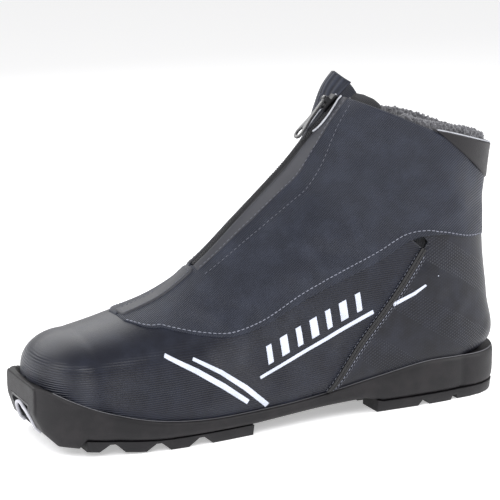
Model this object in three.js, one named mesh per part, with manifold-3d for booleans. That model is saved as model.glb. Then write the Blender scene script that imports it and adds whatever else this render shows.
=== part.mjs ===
// Cross country ski boot for the left foot: a soft boot with a zipped cover, on a sole with a toe bar.
// Millimetres. +X runs to the toe, +Y to the outer side, +Z up. The origin is the bottom centre.
import * as THREE from 'three';
import { mergeVertices } from 'three/addons/utils/BufferGeometryUtils.js';
import Module from 'manifold-3d';

// ---------- driving dimensions ----------
const TOE_X = 288.5;            // tip of the upper, from the back of the heel
const TOE_Z = 39;             // height of that tip
const TOE_ROUND = 0.18;       // share of the upper's run that the rounded toe takes
const SKIN = 1.6;             // outer material of the upper
const GAP = 0.3;              // clearance between touching pieces
const EASE = 0.7;             // clearance between the layers of the upper, which bend around each other
const STIFFENER = 1.3;        // toe puff and heel counter
const LINING = 2.8;           // padded inner lining
const BOARD = 2.2;            // insole board
const SHANK = 1.2;            // spring plate on the insole board
const FOOTBED = 3.0;
const TONGUE = 3.4;
const EYESTAY = 1.4;
const LACE_D = 1.4;
const LACE_ROWS = [0.47, 0.55, 0.62, 0.69];   // places of the lace loops on each side
const LOOP_R = 1.8;          // lace loops, to the middle of the wire
const LOOP_WIRE = 0.35;
const LIP = 2.8;              // the sole's wall outside the upper
const TREAD = 6.3;            // height of the heel and forefoot treads
const LUG_DEPTH = 4.8;        // depth of the gaps between lugs
const LUG_PITCH = 26;
const BAR_D = 4;              // toe bar
const BAR_X = 283;
const BAR_Z = 12.5;
const BAR_BITE = 7;           // length of the bar held in each ear
const NOTCH_W = 26;           // opening in front of and behind the bar
const NOTCH_BACK = 8;         // from the bar's centre to the back of that opening
const EAR = 10;               // wall on each side of that opening
const TOE_FRONT = 9;          // from the bar's centre to the front of the sole
const HOUSING = 1.4;          // insert that lines the opening
const RAIL_W = 7;             // guide grooves under the sole
const RAIL_PITCH = 24;
const RAIL_DEPTH = 2.6;
const ZIP_HALF = 2.9;         // half the width of the closed zip
const ZIP_THICK = 1.5;
const ZIP_LOW = 0.455;        // lowest point of the zip, as a place along the upper
const PATCH_HALF = 9;         // half the width of the patch below the zip
const SLIDER_HALF = 2.7;
const SLIDER_LONG = 11;
const SLIDER_THICK = 1.2;     // at the slider's sides
const CHEEK = 0.8;            // walls that carry the pull's pin
const PIN_D = 1.6;
const PULL_LONG = 29;
const PULL_THICK = 1.5;
const PULL_HALF = 2.2;
const PULL_RING = 4;
const PULL_DROOP = 5;         // degrees towards the boot
const RIM = 1.0;              // edge of the cover at the collar, as a place along the upper

// The upper is a run of sections from the toe to the collar that fan about the instep. Each row gives
// the place along the run, the ridge point (x, z), the opposite point (x, z) under the foot or at the
// heel, the outer and inner half widths, where the section is widest, and how square it is at the
// ridge and at the opposite end.
const SECTIONS = [
  [0.18, 259, 61.5, 258, 19.5, 43, 41, 0.36, 2.3, 4.6],
  [0.29, 234, 67.5, 230, 12.5, 48.5, 45.5, 0.33, 2.3, 5.0],
  [0.38, 207, 77.5, 194, 10.0, 49.5, 46.5, 0.32, 2.0, 5.0],
  [0.47, 184, 95.0, 148, 10.5, 44, 40, 0.30, 1.65, 5.0],
  [0.57, 160, 118.0, 98, 15.0, 38.5, 35, 0.28, 1.5, 5.0],
  [0.67, 139, 138.0, 46, 20.5, 36, 34, 0.30, 1.45, 5.0],
  [0.72, 131.5, 145.2, 18, 22.5, 36, 34, 0.34, 1.42, 4.2],
  [0.75, 127, 149.5, 0.5, 29.0, 36, 34, 0.38, 1.45, 3.2],
  [0.82, 117, 159.1, -2, 57.0, 35, 33, 0.40, 1.6, 2.4],
  [0.88, 109, 166.7, 1, 85.0, 36, 34, 0.43, 1.8, 2.2],
  [0.94, 101, 174.4, 2.5, 114.0, 37, 36, 0.46, 2.1, 2.2],
  [1.00, 92, 183.0, 1, 143.0, 38, 38, 0.50, 2.5, 2.3],
  [1.06, 83, 191.6, -1, 158.0, 39, 40, 0.50, 2.5, 2.3],
];
const DEG = Math.PI / 180;
const mix = (a, b, t) => a + (b - a) * t;
const clamp = (x, a, b) => Math.min(b, Math.max(a, x));
const smooth = (t) => t * t * (3 - 2 * t);

// ---------- the upper's surface ----------
// A smooth curve through the points (xs, ys): cubic pieces whose slopes at the points are averages
// of the chords on both sides, each weighted by the length of the other.
function curve(xs, ys) {
  const last = xs.length - 1;
  const step = xs.slice(1).map((x, i) => x - xs[i]);
  const chord = step.map((h, i) => (ys[i + 1] - ys[i]) / h);
  const slope = xs.map((_, i) => {
    if (i === 0) return chord[0];
    if (i === last) return chord[last - 1];
    return (chord[i - 1] * step[i] + chord[i] * step[i - 1]) / (step[i - 1] + step[i]);
  });
  return (x) => {
    let i = 0;
    while (i < last - 1 && x > xs[i + 1]) i += 1;
    const h = step[i];
    const t = (x - xs[i]) / h;
    return ys[i] * (2 * t ** 3 - 3 * t ** 2 + 1) + h * slope[i] * (t ** 3 - 2 * t ** 2 + t)
      + ys[i + 1] * (3 * t ** 2 - 2 * t ** 3) + h * slope[i + 1] * (t ** 3 - t ** 2);
  };
}
function line(xs, ys) {
  return (x) => {
    let i = 0;
    while (i < xs.length - 2 && x > xs[i + 1]) i += 1;
    return mix(ys[i], ys[i + 1], (x - xs[i]) / (xs[i + 1] - xs[i]));
  };
}
const places = SECTIONS.map((row) => row[0]);
const [ridgeX, ridgeZ, backX, backZ, outerHalf, innerHalf, widest, ridgePower, backPower] =
  [1, 2, 3, 4, 5, 6, 7, 8, 9].map((k) => curve(places, SECTIONS.map((row) => row[k])));

// A point of the upper: u runs from the toe (0) to the collar, the angle f is 0 on the ridge, 90
// degrees on the outer side and 180 degrees under the foot or at the heel. depth moves it inwards.
function upper(u, f, depth = 0) {
  const v = Math.max(u, TOE_ROUND);
  const turn = clamp(u / TOE_ROUND, 0, 1) * Math.PI / 2;
  const tip = TOE_X - depth;
  const ridge = new THREE.Vector2(ridgeX(v), ridgeZ(v));
  const back = new THREE.Vector2(backX(v), backZ(v));
  const inward = back.clone().sub(ridge).normalize().multiplyScalar(depth);
  ridge.add(inward);
  back.sub(inward);
  let outer = outerHalf(v) - depth;
  let inner = innerHalf(v) - depth;
  if (u < TOE_ROUND) {
    for (const end of [ridge, back]) {
      end.x = tip - (tip - end.x) * (1 - Math.cos(turn));
      end.y = TOE_Z + (end.y - TOE_Z) * Math.sin(turn);
    }
    outer *= Math.sin(turn);
    inner *= Math.sin(turn);
  }
  const c = Math.cos(f);
  const s = Math.sin(f);
  const w = smooth(0.5 + 0.5 * c);
  const power = mix(backPower(v), ridgePower(v), w);
  const r = (Math.abs(c) ** power + Math.abs(s) ** power) ** (-1 / power);
  const up = r * c;
  const h = widest(v) + (up > 0 ? (1 - widest(v)) * up : widest(v) * up);
  return new THREE.Vector3(mix(back.x, ridge.x, h), r * s * (s > 0 ? outer : inner),
    mix(back.y, ridge.y, h));
}

// ---------- solids ----------
const wasm = await Module();
wasm.setup();
const boot = new THREE.Group();

function geometry(points, faces) {
  const g = new THREE.BufferGeometry();
  const flat = points.flatMap((p) => [p.x, p.y, p.z]);
  g.setAttribute('position', new THREE.Float32BufferAttribute(flat, 3));
  g.setIndex(faces.flat());
  return g;
}

function solid(g) {
  const bare = g.clone();
  bare.deleteAttribute('normal');
  bare.deleteAttribute('uv');
  const merged = mergeVertices(bare, 1e-4);
  return new wasm.Manifold(new wasm.Mesh({
    numProp: 3,
    vertProperties: new Float32Array(merged.attributes.position.array),
    triVerts: new Uint32Array(merged.index.array),
  }));
}

function fromSolid(m) {
  const mesh = m.getMesh();
  const g = new THREE.BufferGeometry();
  g.setAttribute('position', new THREE.BufferAttribute(new Float32Array(mesh.vertProperties), 3));
  g.setIndex(new THREE.BufferAttribute(new Uint32Array(mesh.triVerts), 1));
  return g;
}

function add(name, g, color, roughness = 0.7, metalness = 0) {
  const mesh = new THREE.Mesh(g, new THREE.MeshStandardMaterial({ color, roughness, metalness }));
  mesh.name = name;
  boot.add(mesh);
  return mesh;
}

// A thick piece of the upper. cells are quads of [u, f] corners in turn; outer and inner are depths.
function sheet(cells, outer, inner) {
  const ids = new Map();
  const uv = [];
  const id = ([u, f]) => {
    const key = `${u.toFixed(5)} ${(((f / DEG) % 360 + 360) % 360).toFixed(3)}`;
    if (!ids.has(key)) {
      ids.set(key, uv.length);
      uv.push([u, f]);
    }
    return ids.get(key);
  };
  const quads = cells.map((cell) => cell.map(id));
  const count = uv.length;
  const points = [...uv.map(([u, f]) => upper(u, f, outer)), ...uv.map(([u, f]) => upper(u, f, inner))];
  const faces = [];
  const edges = new Map();
  for (const [a, b, c, d] of quads) {
    for (const tri of [[a, b, c], [a, c, d]]) {
      if (new Set(tri).size < 3) continue;
      faces.push(tri, [tri[2] + count, tri[1] + count, tri[0] + count]);
      tri.forEach((p, k) => edges.set(`${p} ${tri[(k + 1) % 3]}`, [p, tri[(k + 1) % 3]]));
    }
  }
  for (const [p, q] of edges.values()) {
    if (!edges.has(`${q} ${p}`)) faces.push([q, p, p + count], [q, p + count, q + count]);
  }
  return geometry(points, faces);
}

// Cells of one side between the angles low(u) and high(u), for places us. side is 1 or -1.
function strip(us, low, high, n, side = 1) {
  const at = (i, j) => [us[i], side * mix(low(us[i]), high(us[i]), j / n)];
  const cells = [];
  for (let i = 0; i + 1 < us.length; i += 1) {
    for (let j = 0; j < n; j += 1) {
      const cell = [at(i, j), at(i, j + 1), at(i + 1, j + 1), at(i + 1, j)];
      cells.push(side > 0 ? cell : cell.reverse());
    }
  }
  return cells;
}
const steps = (a, b, n) => Array.from({ length: n + 1 }, (_, i) => mix(a, b, i / n));
const both = (us, low, high, n) => [...strip(us, low, high, n), ...strip(us, low, high, n, -1)];

// ---------- seams of the upper, as angles at each place ----------
const COVER_START = 0.29;     // front end of the cover
const COVER_BACK = 0.908;     // where its lower edge meets the back of the heel
const SEAM_LOW = 0.515;       // heel panel seam at the sole
const SEAM_TIP = 0.785;       // back end of the vamp
const SEAM_HIGH = 0.81;       // and near the cover's edge
const FEATHER = 150 * DEG;    // the skin's turned-under edge
const ROWS = [0.012, 0.03, 0.055, 0.085, 0.12, 0.15, 0.18, 0.22, 0.26, COVER_START, 0.305, 0.32, 0.34, 0.36,
  0.39, 0.42, ZIP_LOW, 0.49, SEAM_LOW, 0.54, 0.57, 0.60, 0.64, 0.68, 0.71, 0.725, 0.74, 0.757, SEAM_TIP, SEAM_HIGH, 0.83,
  0.85, 0.87, 0.883, 0.893, 0.90, COVER_BACK, 0.935, 0.967, RIM];
// The shared rows between two places, and the two places themselves.
const rows = (from, to) => [from, ...ROWS.filter((u) => u > from + 0.004 && u < to - 0.004), to];
// The angle at each row where the surface crosses a line that is drawn in the side view.
function sideCut(us, above) {
  const angles = us.map((u) => {
    let [a, b] = [0, Math.PI];
    for (let k = 0; k < 30; k += 1) {
      const m = (a + b) / 2;
      if (above(upper(u, m)) > 0) a = m; else b = m;
    }
    return a;
  });
  return curve(us, angles);
}
const coverZ = curve([-10, 22, 45, 63, 79, 131, 162, 180, 200, 218, 232],
  [98, 98.5, 103, 101, 93, 74, 62, 59, 61.5, 65.5, 69]);
const coverSide = sideCut(rows(0.34, 0.90), (p) => p.z - coverZ(p.x));
const coverFrontEdge = curve([COVER_START, 0.305, 0.32, 0.34], [14 * DEG, 25 * DEG, 32 * DEG, coverSide(0.34)]);
function coverEdge(u) {
  if (u < 0.34) return coverFrontEdge(u);
  return u < 0.90 ? coverSide(u) : mix(coverSide(0.90), Math.PI, clamp((u - 0.90) / (COVER_BACK - 0.90), 0, 1));
}
const SEAM_FOOT = { x: 121, z: 13 };
const SEAM_TOP = { x: 54, z: 98 };
const heelCut = sideCut(rows(0.53, 0.83), (p) => (p.x - SEAM_FOOT.x) * (SEAM_TOP.z - SEAM_FOOT.z)
  + (p.z - SEAM_FOOT.z) * (SEAM_FOOT.x - SEAM_TOP.x));
const heelSeam = (u) => Math.min(FEATHER, heelCut(u));
const UNDER_HEEL = 0.71;      // where the skin and the lining close under the heel
const slack = (u) => 0.35 / outerHalf(Math.max(u, TOE_ROUND));   // half a gap, as an angle
const zipEdge = (u) => ZIP_HALF / outerHalf(u);
const patchEdge = (u) => PATCH_HALF / outerHalf(u);

// The outward normal of the surface.
function normal(u, f, depth = 0) {
  const e = 0.001;
  const a = upper(u + e, f, depth).sub(upper(u - e, f, depth));
  const b = upper(u, f + e, depth).sub(upper(u, f - e, depth));
  return b.cross(a).normalize();
}
// The cover opens about a straight line on each side, from the foot of the zip to the collar. On the
// surface that is the cut by a plane through the line that stands upright on the surface.
const HINGE_TOP = 54 * DEG;
const HINGE_MID = [0.75, 38 * DEG];
function hingeCut(side, rim) {
  const low = upper(ZIP_LOW, side * patchEdge(ZIP_LOW));
  const high = upper(rim, side * HINGE_TOP);
  const upright = normal(HINGE_MID[0], side * HINGE_MID[1]);
  if (upright.x < 0) upright.negate();
  const plane = new THREE.Plane().setFromCoplanarPoints(low, high, low.clone().add(upright));
  const us = steps(ZIP_LOW, rim, 14);
  const angles = us.map((u) => {
    let [a, b] = [0, 110 * DEG];
    const from = Math.sign(plane.distanceToPoint(upper(u, 0)));
    for (let k = 0; k < 40; k += 1) {
      const m = (a + b) / 2;
      if (Math.sign(plane.distanceToPoint(upper(u, side * m))) === from) a = m; else b = m;
    }
    return a;
  });
  return { angle: curve(us, angles) };
}
const RIM_INNER = 1.05;       // the inner side's collar stands a little higher
const hingeOuter = hingeCut(1, RIM);
const hingeInner = hingeCut(-1, RIM_INNER);

// ---------- upper: outer skin ----------
const NAVY = 0x3b3f4d;
const GLOSS = 0x2e303a;
const BLACK = 0x232226;
const GREY = 0x6a6a72;
const STEEL = 0xb8bcc2;
const toeRun = rows(0.012, COVER_START);
const sideRun = rows(COVER_START, SEAM_LOW);
const tailRun = rows(SEAM_LOW, SEAM_TIP);
const edgeSlack = (u) => slack(u) * (u < 0.36 ? 2.5 : 1);
const feather = () => FEATHER;
const coverFront = coverEdge(COVER_START) + edgeSlack(COVER_START);
const vampTop = (u) => (u <= COVER_START ? coverFront : coverEdge(u) + edgeSlack(u));
const vampLow = (u) => (u <= SEAM_LOW ? FEATHER : heelSeam(u) - slack(u));
add('vamp', sheet([...both(toeRun, () => 0, () => coverFront, 1), ...both(toeRun, vampTop, feather, 9),
  ...both(sideRun, vampTop, feather, 9), ...both(tailRun, vampTop, vampLow, 9)], 0, SKIN), GLOSS, 0.45);
const heelRun = rows(SEAM_LOW + 0.008, COVER_BACK - 0.0035);
const heelUnder = rows(UNDER_HEEL, COVER_BACK - 0.0035);
const heelTop = (u) => (u < SEAM_HIGH ? heelSeam(u) : coverEdge(u)) + slack(u) * (u < 0.86 ? 1 : 6);
const heelFeather = (u) => Math.max(FEATHER, Math.min(heelTop(u) + 4 * DEG, Math.PI - DEG));
add('heel_panel', sheet([...both(heelRun, heelTop, heelFeather, 8),
  ...both(heelUnder, heelFeather, () => Math.PI, 3)], 0, SKIN), GLOSS, 0.45);

const coverRun = rows(COVER_START + 0.004, RIM);
const innerFrom = (hinge) => (u) => slack(u)
  + (u < ZIP_LOW ? patchEdge(u) : Math.max(hinge.angle(u), patchEdge(ZIP_LOW)));
const outerTo = (u) => (u >= COVER_BACK ? Math.PI : coverEdge(u) - edgeSlack(u)) - slack(u);

// Behind the heel tab the cover's top edge dips.
const TAB_EDGE = 150 * DEG;
const DIP = 0.02;
const dip = (u, f) => DIP * smooth(clamp((Math.abs(f) - 0.9 * TAB_EDGE) / (0.1 * TAB_EDGE), 0, 1))
  * clamp((u - 0.9) / 0.1, 0, 1);
const dipped = (cells) => cells.map((cell) => cell.map(([u, f]) => [u - dip(u, f), f]));
add('cover_outer_side', sheet(dipped(strip(coverRun, innerFrom(hingeOuter), outerTo, 8)), 0, SKIN), NAVY, 0.8);
add('cover_inner_side', sheet(dipped(strip(coverRun, innerFrom(hingeInner), outerTo, 8, -1)), 0, SKIN), NAVY, 0.8);
add('heel_tab', sheet(both([RIM - DIP + 0.007, 1.015, 1.045], () => TAB_EDGE, () => Math.PI, 5), 0, SKIN),
  BLACK, 0.6);

// ---------- zip, its flaps and the patch below it ----------
const patchRun = rows(COVER_START + 0.004, ZIP_LOW - 0.001);
add('zip_patch', sheet(both(patchRun, () => 0, (u) => patchEdge(u) - slack(u), 2), 0, SKIN), BLACK, 0.5);
add('zip_stop', sheet(both([ZIP_LOW - 0.016, ZIP_LOW - 0.006], () => 0, zipEdge, 2), -GAP - 1, -GAP), STEEL, 0.3, 1);
const flapRun = rows(ZIP_LOW + 0.003, RIM);
const flapRunInner = [...flapRun, (RIM + RIM_INNER) / 2, RIM_INNER];
const chainRun = flapRun.slice(0, -1).concat(RIM - 0.004);
for (const [name, side, run, hinge] of [['outer', 1, flapRun, hingeOuter], ['inner', -1, flapRunInner, hingeInner]]) {
  const flapTo = (u) => hinge.angle(u) - slack(u);
  const pipe = (mm) => (u) => zipEdge(u) + mm / outerHalf(u);
  add(`cover_flap_${name}`, sheet(strip(run, pipe(GAP), flapTo, 4, side), 0, SKIN), NAVY, 0.8);
  add(`zip_chain_${name}`, sheet(strip(chainRun, (u) => GAP / 2 / outerHalf(u), zipEdge, 1, side),
    -ZIP_THICK / 3, 2 * ZIP_THICK / 3), BLACK, 0.5);
  add(`zip_piping_${name}`, sheet(strip([0.86, 0.88, 0.93, 0.965, RIM - 0.004], pipe(GAP), pipe(GAP + 2), 1, side),
    -GAP - 0.9, -GAP), GREY, 0.7);
}

// The zip runs straight: down is along it, out stands on it.
const zipTop = upper(RIM, 0);
const down = upper(ZIP_LOW + 0.03, 0).sub(zipTop).normalize();
const out = new THREE.Vector3().crossVectors(down, new THREE.Vector3(0, 1, 0)).normalize();
const zipFrame = new THREE.Matrix4().makeBasis(down, new THREE.Vector3(0, 1, 0), out);
const sliderAt = zipTop.clone().addScaledVector(down, SLIDER_LONG / 2 + 3);
zipFrame.setPosition(sliderAt);

function extrude(outline, length, holes = []) {
  const shape = new THREE.Shape(outline.map(([x, y]) => new THREE.Vector2(x, y)));
  for (const [x, y, r] of holes) shape.holes.push(new THREE.Path().absarc(x, y, r, 0, 2 * Math.PI, true));
  return new THREE.ExtrudeGeometry(shape, { depth: length, bevelEnabled: false, curveSegments: 10 });
}
// An outline in the XZ plane, or in the slider's (down, out) plane, with the given width along Y.
function across(outline, width, holes = [], y = 0) {
  return extrude(outline, width, holes).translate(0, 0, -width / 2).rotateX(Math.PI / 2).translate(0, y, 0);
}
const circle = (x, y, r, n = 20) => Array.from({ length: n },
  (_, i) => [x + r * Math.cos(2 * Math.PI * i / n), y + r * Math.sin(2 * Math.PI * i / n)]);

// The slider's underside is a keel between the halves of the zip, which part along its faces.
const keel = ZIP_THICK / 3 + GAP;
const KEEL_SLOPE = 1.05;
const sliderSide = keel + KEEL_SLOPE * SLIDER_HALF;
const sliderTop = sliderSide + SLIDER_THICK;
const pinUp = sliderTop + 1.2 + PIN_D / 2;
const hull = extrude([[0, keel], [SLIDER_HALF, sliderSide], [SLIDER_HALF, sliderTop], [-SLIDER_HALF, sliderTop],
  [-SLIDER_HALF, sliderSide]], SLIDER_LONG);
hull.applyMatrix4(new THREE.Matrix4().makeBasis(new THREE.Vector3(0, 1, 0), new THREE.Vector3(0, 0, 1),
  new THREE.Vector3(1, 0, 0))).translate(-SLIDER_LONG / 2, 0, 0);
let slider = solid(hull);
const cheekY = PULL_HALF - 0.4;
for (const side of [-1, 1]) {
  const cheek = across([[-1.7, sliderTop - 0.4], [1.7, sliderTop - 0.4], [1.5, pinUp + 1.2], [-1.5, pinUp + 1.2]],
    CHEEK, [], side * (cheekY + CHEEK / 2));
  slider = slider.add(solid(cheek));
}
slider = slider.add(solid(across(circle(0, pinUp, PIN_D / 2, 14), 2 * cheekY + CHEEK)));
const eyeR = PIN_D / 2 + GAP;
const eyeHalf = cheekY - GAP;
let pull = solid(across(circle(0, 0, eyeR + 0.7), 2 * eyeHalf));
const plate = new THREE.Shape([[0.6, -eyeHalf], [4, -eyeHalf], [6, -PULL_HALF + 0.6], [PULL_LONG - 1.7 * PULL_RING, -PULL_HALF],
  [PULL_LONG - 1.7 * PULL_RING, PULL_HALF], [6, PULL_HALF - 0.6], [4, eyeHalf], [0.6, eyeHalf]]
  .map(([x, y]) => new THREE.Vector2(x, y)));
const flat = { depth: PULL_THICK, bevelEnabled: false };
pull = pull.add(solid(new THREE.ExtrudeGeometry(plate, flat).translate(0, 0, -PULL_THICK / 2)));
pull = pull.add(solid(extrude(circle(PULL_LONG - PULL_RING, 0, PULL_RING), PULL_THICK).translate(0, 0, -PULL_THICK / 2)));
pull = pull.subtract(solid(extrude(circle(PULL_LONG - PULL_RING, 0, PULL_RING / 2, 14), 2 * PULL_THICK)
  .translate(0, 0, -PULL_THICK)));
pull = pull.subtract(solid(across(circle(0, 0, eyeR), 3 * PULL_HALF)));
add('zip_slider', fromSolid(slider).applyMatrix4(zipFrame), BLACK, 0.4, 0.3);
add('zip_pull', fromSolid(pull).rotateY(PULL_DROOP * DEG).translate(0, 0, pinUp).applyMatrix4(zipFrame), BLACK, 0.3);

// ---------- inside the upper ----------
const STIFF_AT = SKIN + EASE + GAP;
const LINING_AT = STIFF_AT + STIFFENER + EASE;
const BOARD_AT = SKIN + 2 * EASE + 2 * GAP;
const SHANK_AT = BOARD_AT + BOARD + EASE;
const FOOTBED_AT = SHANK_AT + SHANK + EASE;
const STAY_AT = LINING_AT + LINING + EASE;
const TONGUE_AT = STAY_AT + EYESTAY + EASE + GAP;
const LAST_EDGE = 139 * DEG;
const lastEdge = () => LAST_EDGE;
const closed = () => Math.PI;
add('toe_puff', sheet(both(rows(0.03, 0.22), () => 0, () => 125 * DEG, 9),
  STIFF_AT, STIFF_AT + STIFFENER), 0xb9a988, 0.8);
add('heel_counter', sheet([...both(rows(0.60, 0.85), () => 118 * DEG, lastEdge, 4),
  ...both(rows(UNDER_HEEL, 0.85), lastEdge, closed, 5)],
  STIFF_AT, STIFF_AT + STIFFENER), 0xb9a988, 0.8);
const SLIT = 40 * DEG;
const liningRun = rows(0.03, 0.36);
const slitRun = rows(0.36, 0.90);
add('inner_lining', sheet([...both(liningRun, () => 0, () => SLIT, 2), ...both(liningRun, () => SLIT, lastEdge, 7),
  ...both(slitRun, () => SLIT, lastEdge, 7), ...both(rows(UNDER_HEEL, 0.90), lastEdge, closed, 4)], LINING_AT, LINING_AT + LINING), GREY, 0.9);
const fleeceRun = [...rows(COVER_BACK, RIM), 1.04];
const fleeceFrom = (hinge) => (u) => innerFrom(hinge)(Math.min(u, RIM)) + 1 * DEG;
const fleeceCells = [...strip(fleeceRun, fleeceFrom(hingeOuter), () => Math.PI, 8),
  ...strip(fleeceRun, fleeceFrom(hingeInner), () => Math.PI, 8, -1)];
add('collar_fleece', sheet(fleeceCells, SKIN + EASE + GAP, LINING_AT + LINING), GREY, 0.95);
const boardRun = rows(0.085, UNDER_HEEL - 0.008);
const boardEdge = () => LAST_EDGE + 4 * DEG;
add('insole_board', sheet(both(boardRun, boardEdge, () => Math.PI, 3), BOARD_AT, BOARD_AT + BOARD), 0xa88f66, 0.9);
add('shank', sheet(both(rows(0.39, 0.68), () => 171 * DEG, () => Math.PI, 1), SHANK_AT, SHANK_AT + SHANK),
  STEEL, 0.4, 1);
add('footbed', sheet(both(boardRun.slice(1, -1), () => boardEdge() + 4 * DEG, closed, 3), FOOTBED_AT,
  FOOTBED_AT + FOOTBED), 0x2b2d33, 0.9);
add('tongue', sheet(both([...rows(0.34, RIM), 1.03], () => 0, () => 36 * DEG, 3),
  TONGUE_AT, TONGUE_AT + TONGUE), 0x2f3138, 0.9);

// ---------- laces ----------
const STAY = [21 * DEG, 39 * DEG];
const LOOP_F = 27 * DEG;
function loopCentre(u, side) {
  const n = normal(u, side * LOOP_F, STAY_AT);
  if (n.y * side < 0) n.negate();
  return upper(u, side * LOOP_F, STAY_AT).addScaledVector(n, LOOP_R + LOOP_WIRE + GAP);
}
for (const [name, side] of [['outer', 1], ['inner', -1]]) {
  add(`eyestay_${name}`, sheet(strip(rows(0.42, 0.775), () => STAY[0], () => STAY[1], 2, side),
    STAY_AT, STAY_AT + EYESTAY), BLACK, 0.7);
}
const LACE_OVER = 4.0;        // depth of the upper lace where the two cross, and of the lower one
const LACE_UNDER = LACE_OVER + LACE_D + 1.4;
function laceRoute(first, depth) {
  const path = [];
  LACE_ROWS.forEach((u, i) => {
    path.push(loopCentre(u, first * (i % 2 ? -1 : 1)));
    if (i + 1 < LACE_ROWS.length) path.push(upper((u + LACE_ROWS[i + 1]) / 2, 0, depth));
  });
  return new THREE.CatmullRomCurve3(path, false, 'centripetal');
}
for (const [name, first, depth] of [['over', 1, LACE_OVER], ['under', -1, LACE_UNDER]]) {
  const route = laceRoute(first, depth);
  const section = new THREE.Shape(circle(0, 0, LACE_D / 2, 6).map(([x, y]) => new THREE.Vector2(x, y)));
  add(`lace_${name}`, new THREE.ExtrudeGeometry(section, { steps: 60, bevelEnabled: false, extrudePath: route }),
    BLACK, 0.8);
  LACE_ROWS.forEach((u, i) => {
    const side = first * (i % 2 ? -1 : 1);
    const loop = new THREE.TorusGeometry(LOOP_R, LOOP_WIRE, 5, 10);
    const along = route.getTangent(i / (LACE_ROWS.length - 1));
    loop.applyQuaternion(new THREE.Quaternion().setFromUnitVectors(new THREE.Vector3(0, 0, 1), along));
    const at = loopCentre(u, side);
    add(`lace_loop_${side > 0 ? 'outer' : 'inner'}_${i + 1}`, loop.translate(at.x, at.y, at.z), STEEL, 0.4, 1);
  });
}

// ---------- seam tapes ----------
const TAPE_HALF = 1.7;
const tapeRun = rows(0.57, SEAM_HIGH - 0.006);
for (const [name, side] of [['outer', 1], ['inner', -1]]) {
  const edge = (mm) => (u) => heelSeam(u) + mm / outerHalf(u);
  add(`seam_tape_${name}`, sheet(strip(tapeRun, edge(-TAPE_HALF), edge(TAPE_HALF), 2, side), -GAP - 0.8, -GAP), BLACK, 0.8);
}

// ---------- sole ----------
const lipZ = curve([-12, 20, 50, 84, 123, 170, 200, 230, 260, 277, 287, 293],
  [27, 26.5, 27, 22, 16, 14, 14.5, 18, 26, 34, 41.5, 43.5]);
const SOLE_FRONT = BAR_X + TOE_FRONT;
const STEP_X = BAR_X - 15;    // front of the forefoot tread
const soleBase = TREAD + GAP;
const spring = line([-12, 225, 245, 265, 280, 300], [0, 0, 1.4, 3, 4.2, 6]);
const baseZ = line([-12, 80, 92, 130, 165, 300], [0, 0, 3, 1.6, 0, 0]);
const earZ = line([-12, STEP_X, STEP_X + 3, BAR_X - 2, BAR_X + 4.5, SOLE_FRONT], [0, 0, -5, -5, 1, 11]);
const bottomZ = (x) => soleBase + spring(x) + baseZ(x) + earZ(x);

// The upper's outline at the height of the lip: half widths by length, found by following that height.
function lipCurve(side) {
  const found = [];
  for (let u = 0.06; u < 0.78; u += 0.01) {
    if (upper(u, Math.PI).z > lipZ(upper(u, Math.PI).x)) continue;
    let [a, b] = [Math.PI / 2, Math.PI];
    for (let k = 0; k < 30; k += 1) {
      const p = upper(u, side * (a + b) / 2);
      if (p.z > lipZ(p.x)) a = (a + b) / 2; else b = (a + b) / 2;
    }
    const p = upper(u, side * a);
    found.push([p.x, Math.abs(p.y)]);
  }
  found.sort((p, q) => p[0] - q[0]);
  const apart = found.filter((p, i) => i === 0 || p[0] - found[i - 1][0] > 0.5);
  const [from, to] = [apart[0][0], apart.at(-1)[0]];
  const half = curve(apart.map((p) => p[0]), apart.map((p) => p[1]));
  return (x) => half(clamp(x, from, to));
}
const lips = [lipCurve(1), lipCurve(-1)];
const heelX = upper(0.76, Math.PI).x - 2 * LIP;
const HEEL_ROUND = 34;        // length of the sole's round heel, and of its round toe
const TOE_ROUNDING = 42;
const TOE_BLUNT = 6;          // how much of the toe's ellipse is cut off by the flat front
function soleHalf(x, k) {
  const side = (at) => lips[k](at) + LIP;
  const heel = clamp((heelX + HEEL_ROUND - x) / HEEL_ROUND, 0, 1);
  const toe = clamp((x - (SOLE_FRONT - TOE_ROUNDING)) / (TOE_ROUNDING + TOE_BLUNT), 0, 1);
  if (heel > 0) return side(heelX + HEEL_ROUND) * (1 - heel ** 2.2) ** (1 / 2.2);
  if (toe > 0) return Math.max(side(SOLE_FRONT - TOE_ROUNDING) * Math.sqrt(1 - toe ** 2), Math.min(side(x), 40));
  return side(x);
}

// A solid along X whose cross sections are polygons of equal count, closed by flat ends.
function loft(sections) {
  const n = sections[0].length;
  const points = sections.flat();
  const faces = [];
  for (let i = 0; i + 1 < sections.length; i += 1) {
    for (let j = 0; j < n; j += 1) {
      const [a, b] = [i * n + j, i * n + (j + 1) % n];
      faces.push([a, b, b + n], [a, b + n, a + n]);
    }
  }
  for (let j = 1; j + 1 < n; j += 1) {
    faces.push([0, j + 1, j]);
    const end = (sections.length - 1) * n;
    faces.push([end, end + j, end + j + 1]);
  }
  return geometry(points, faces);
}
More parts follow.
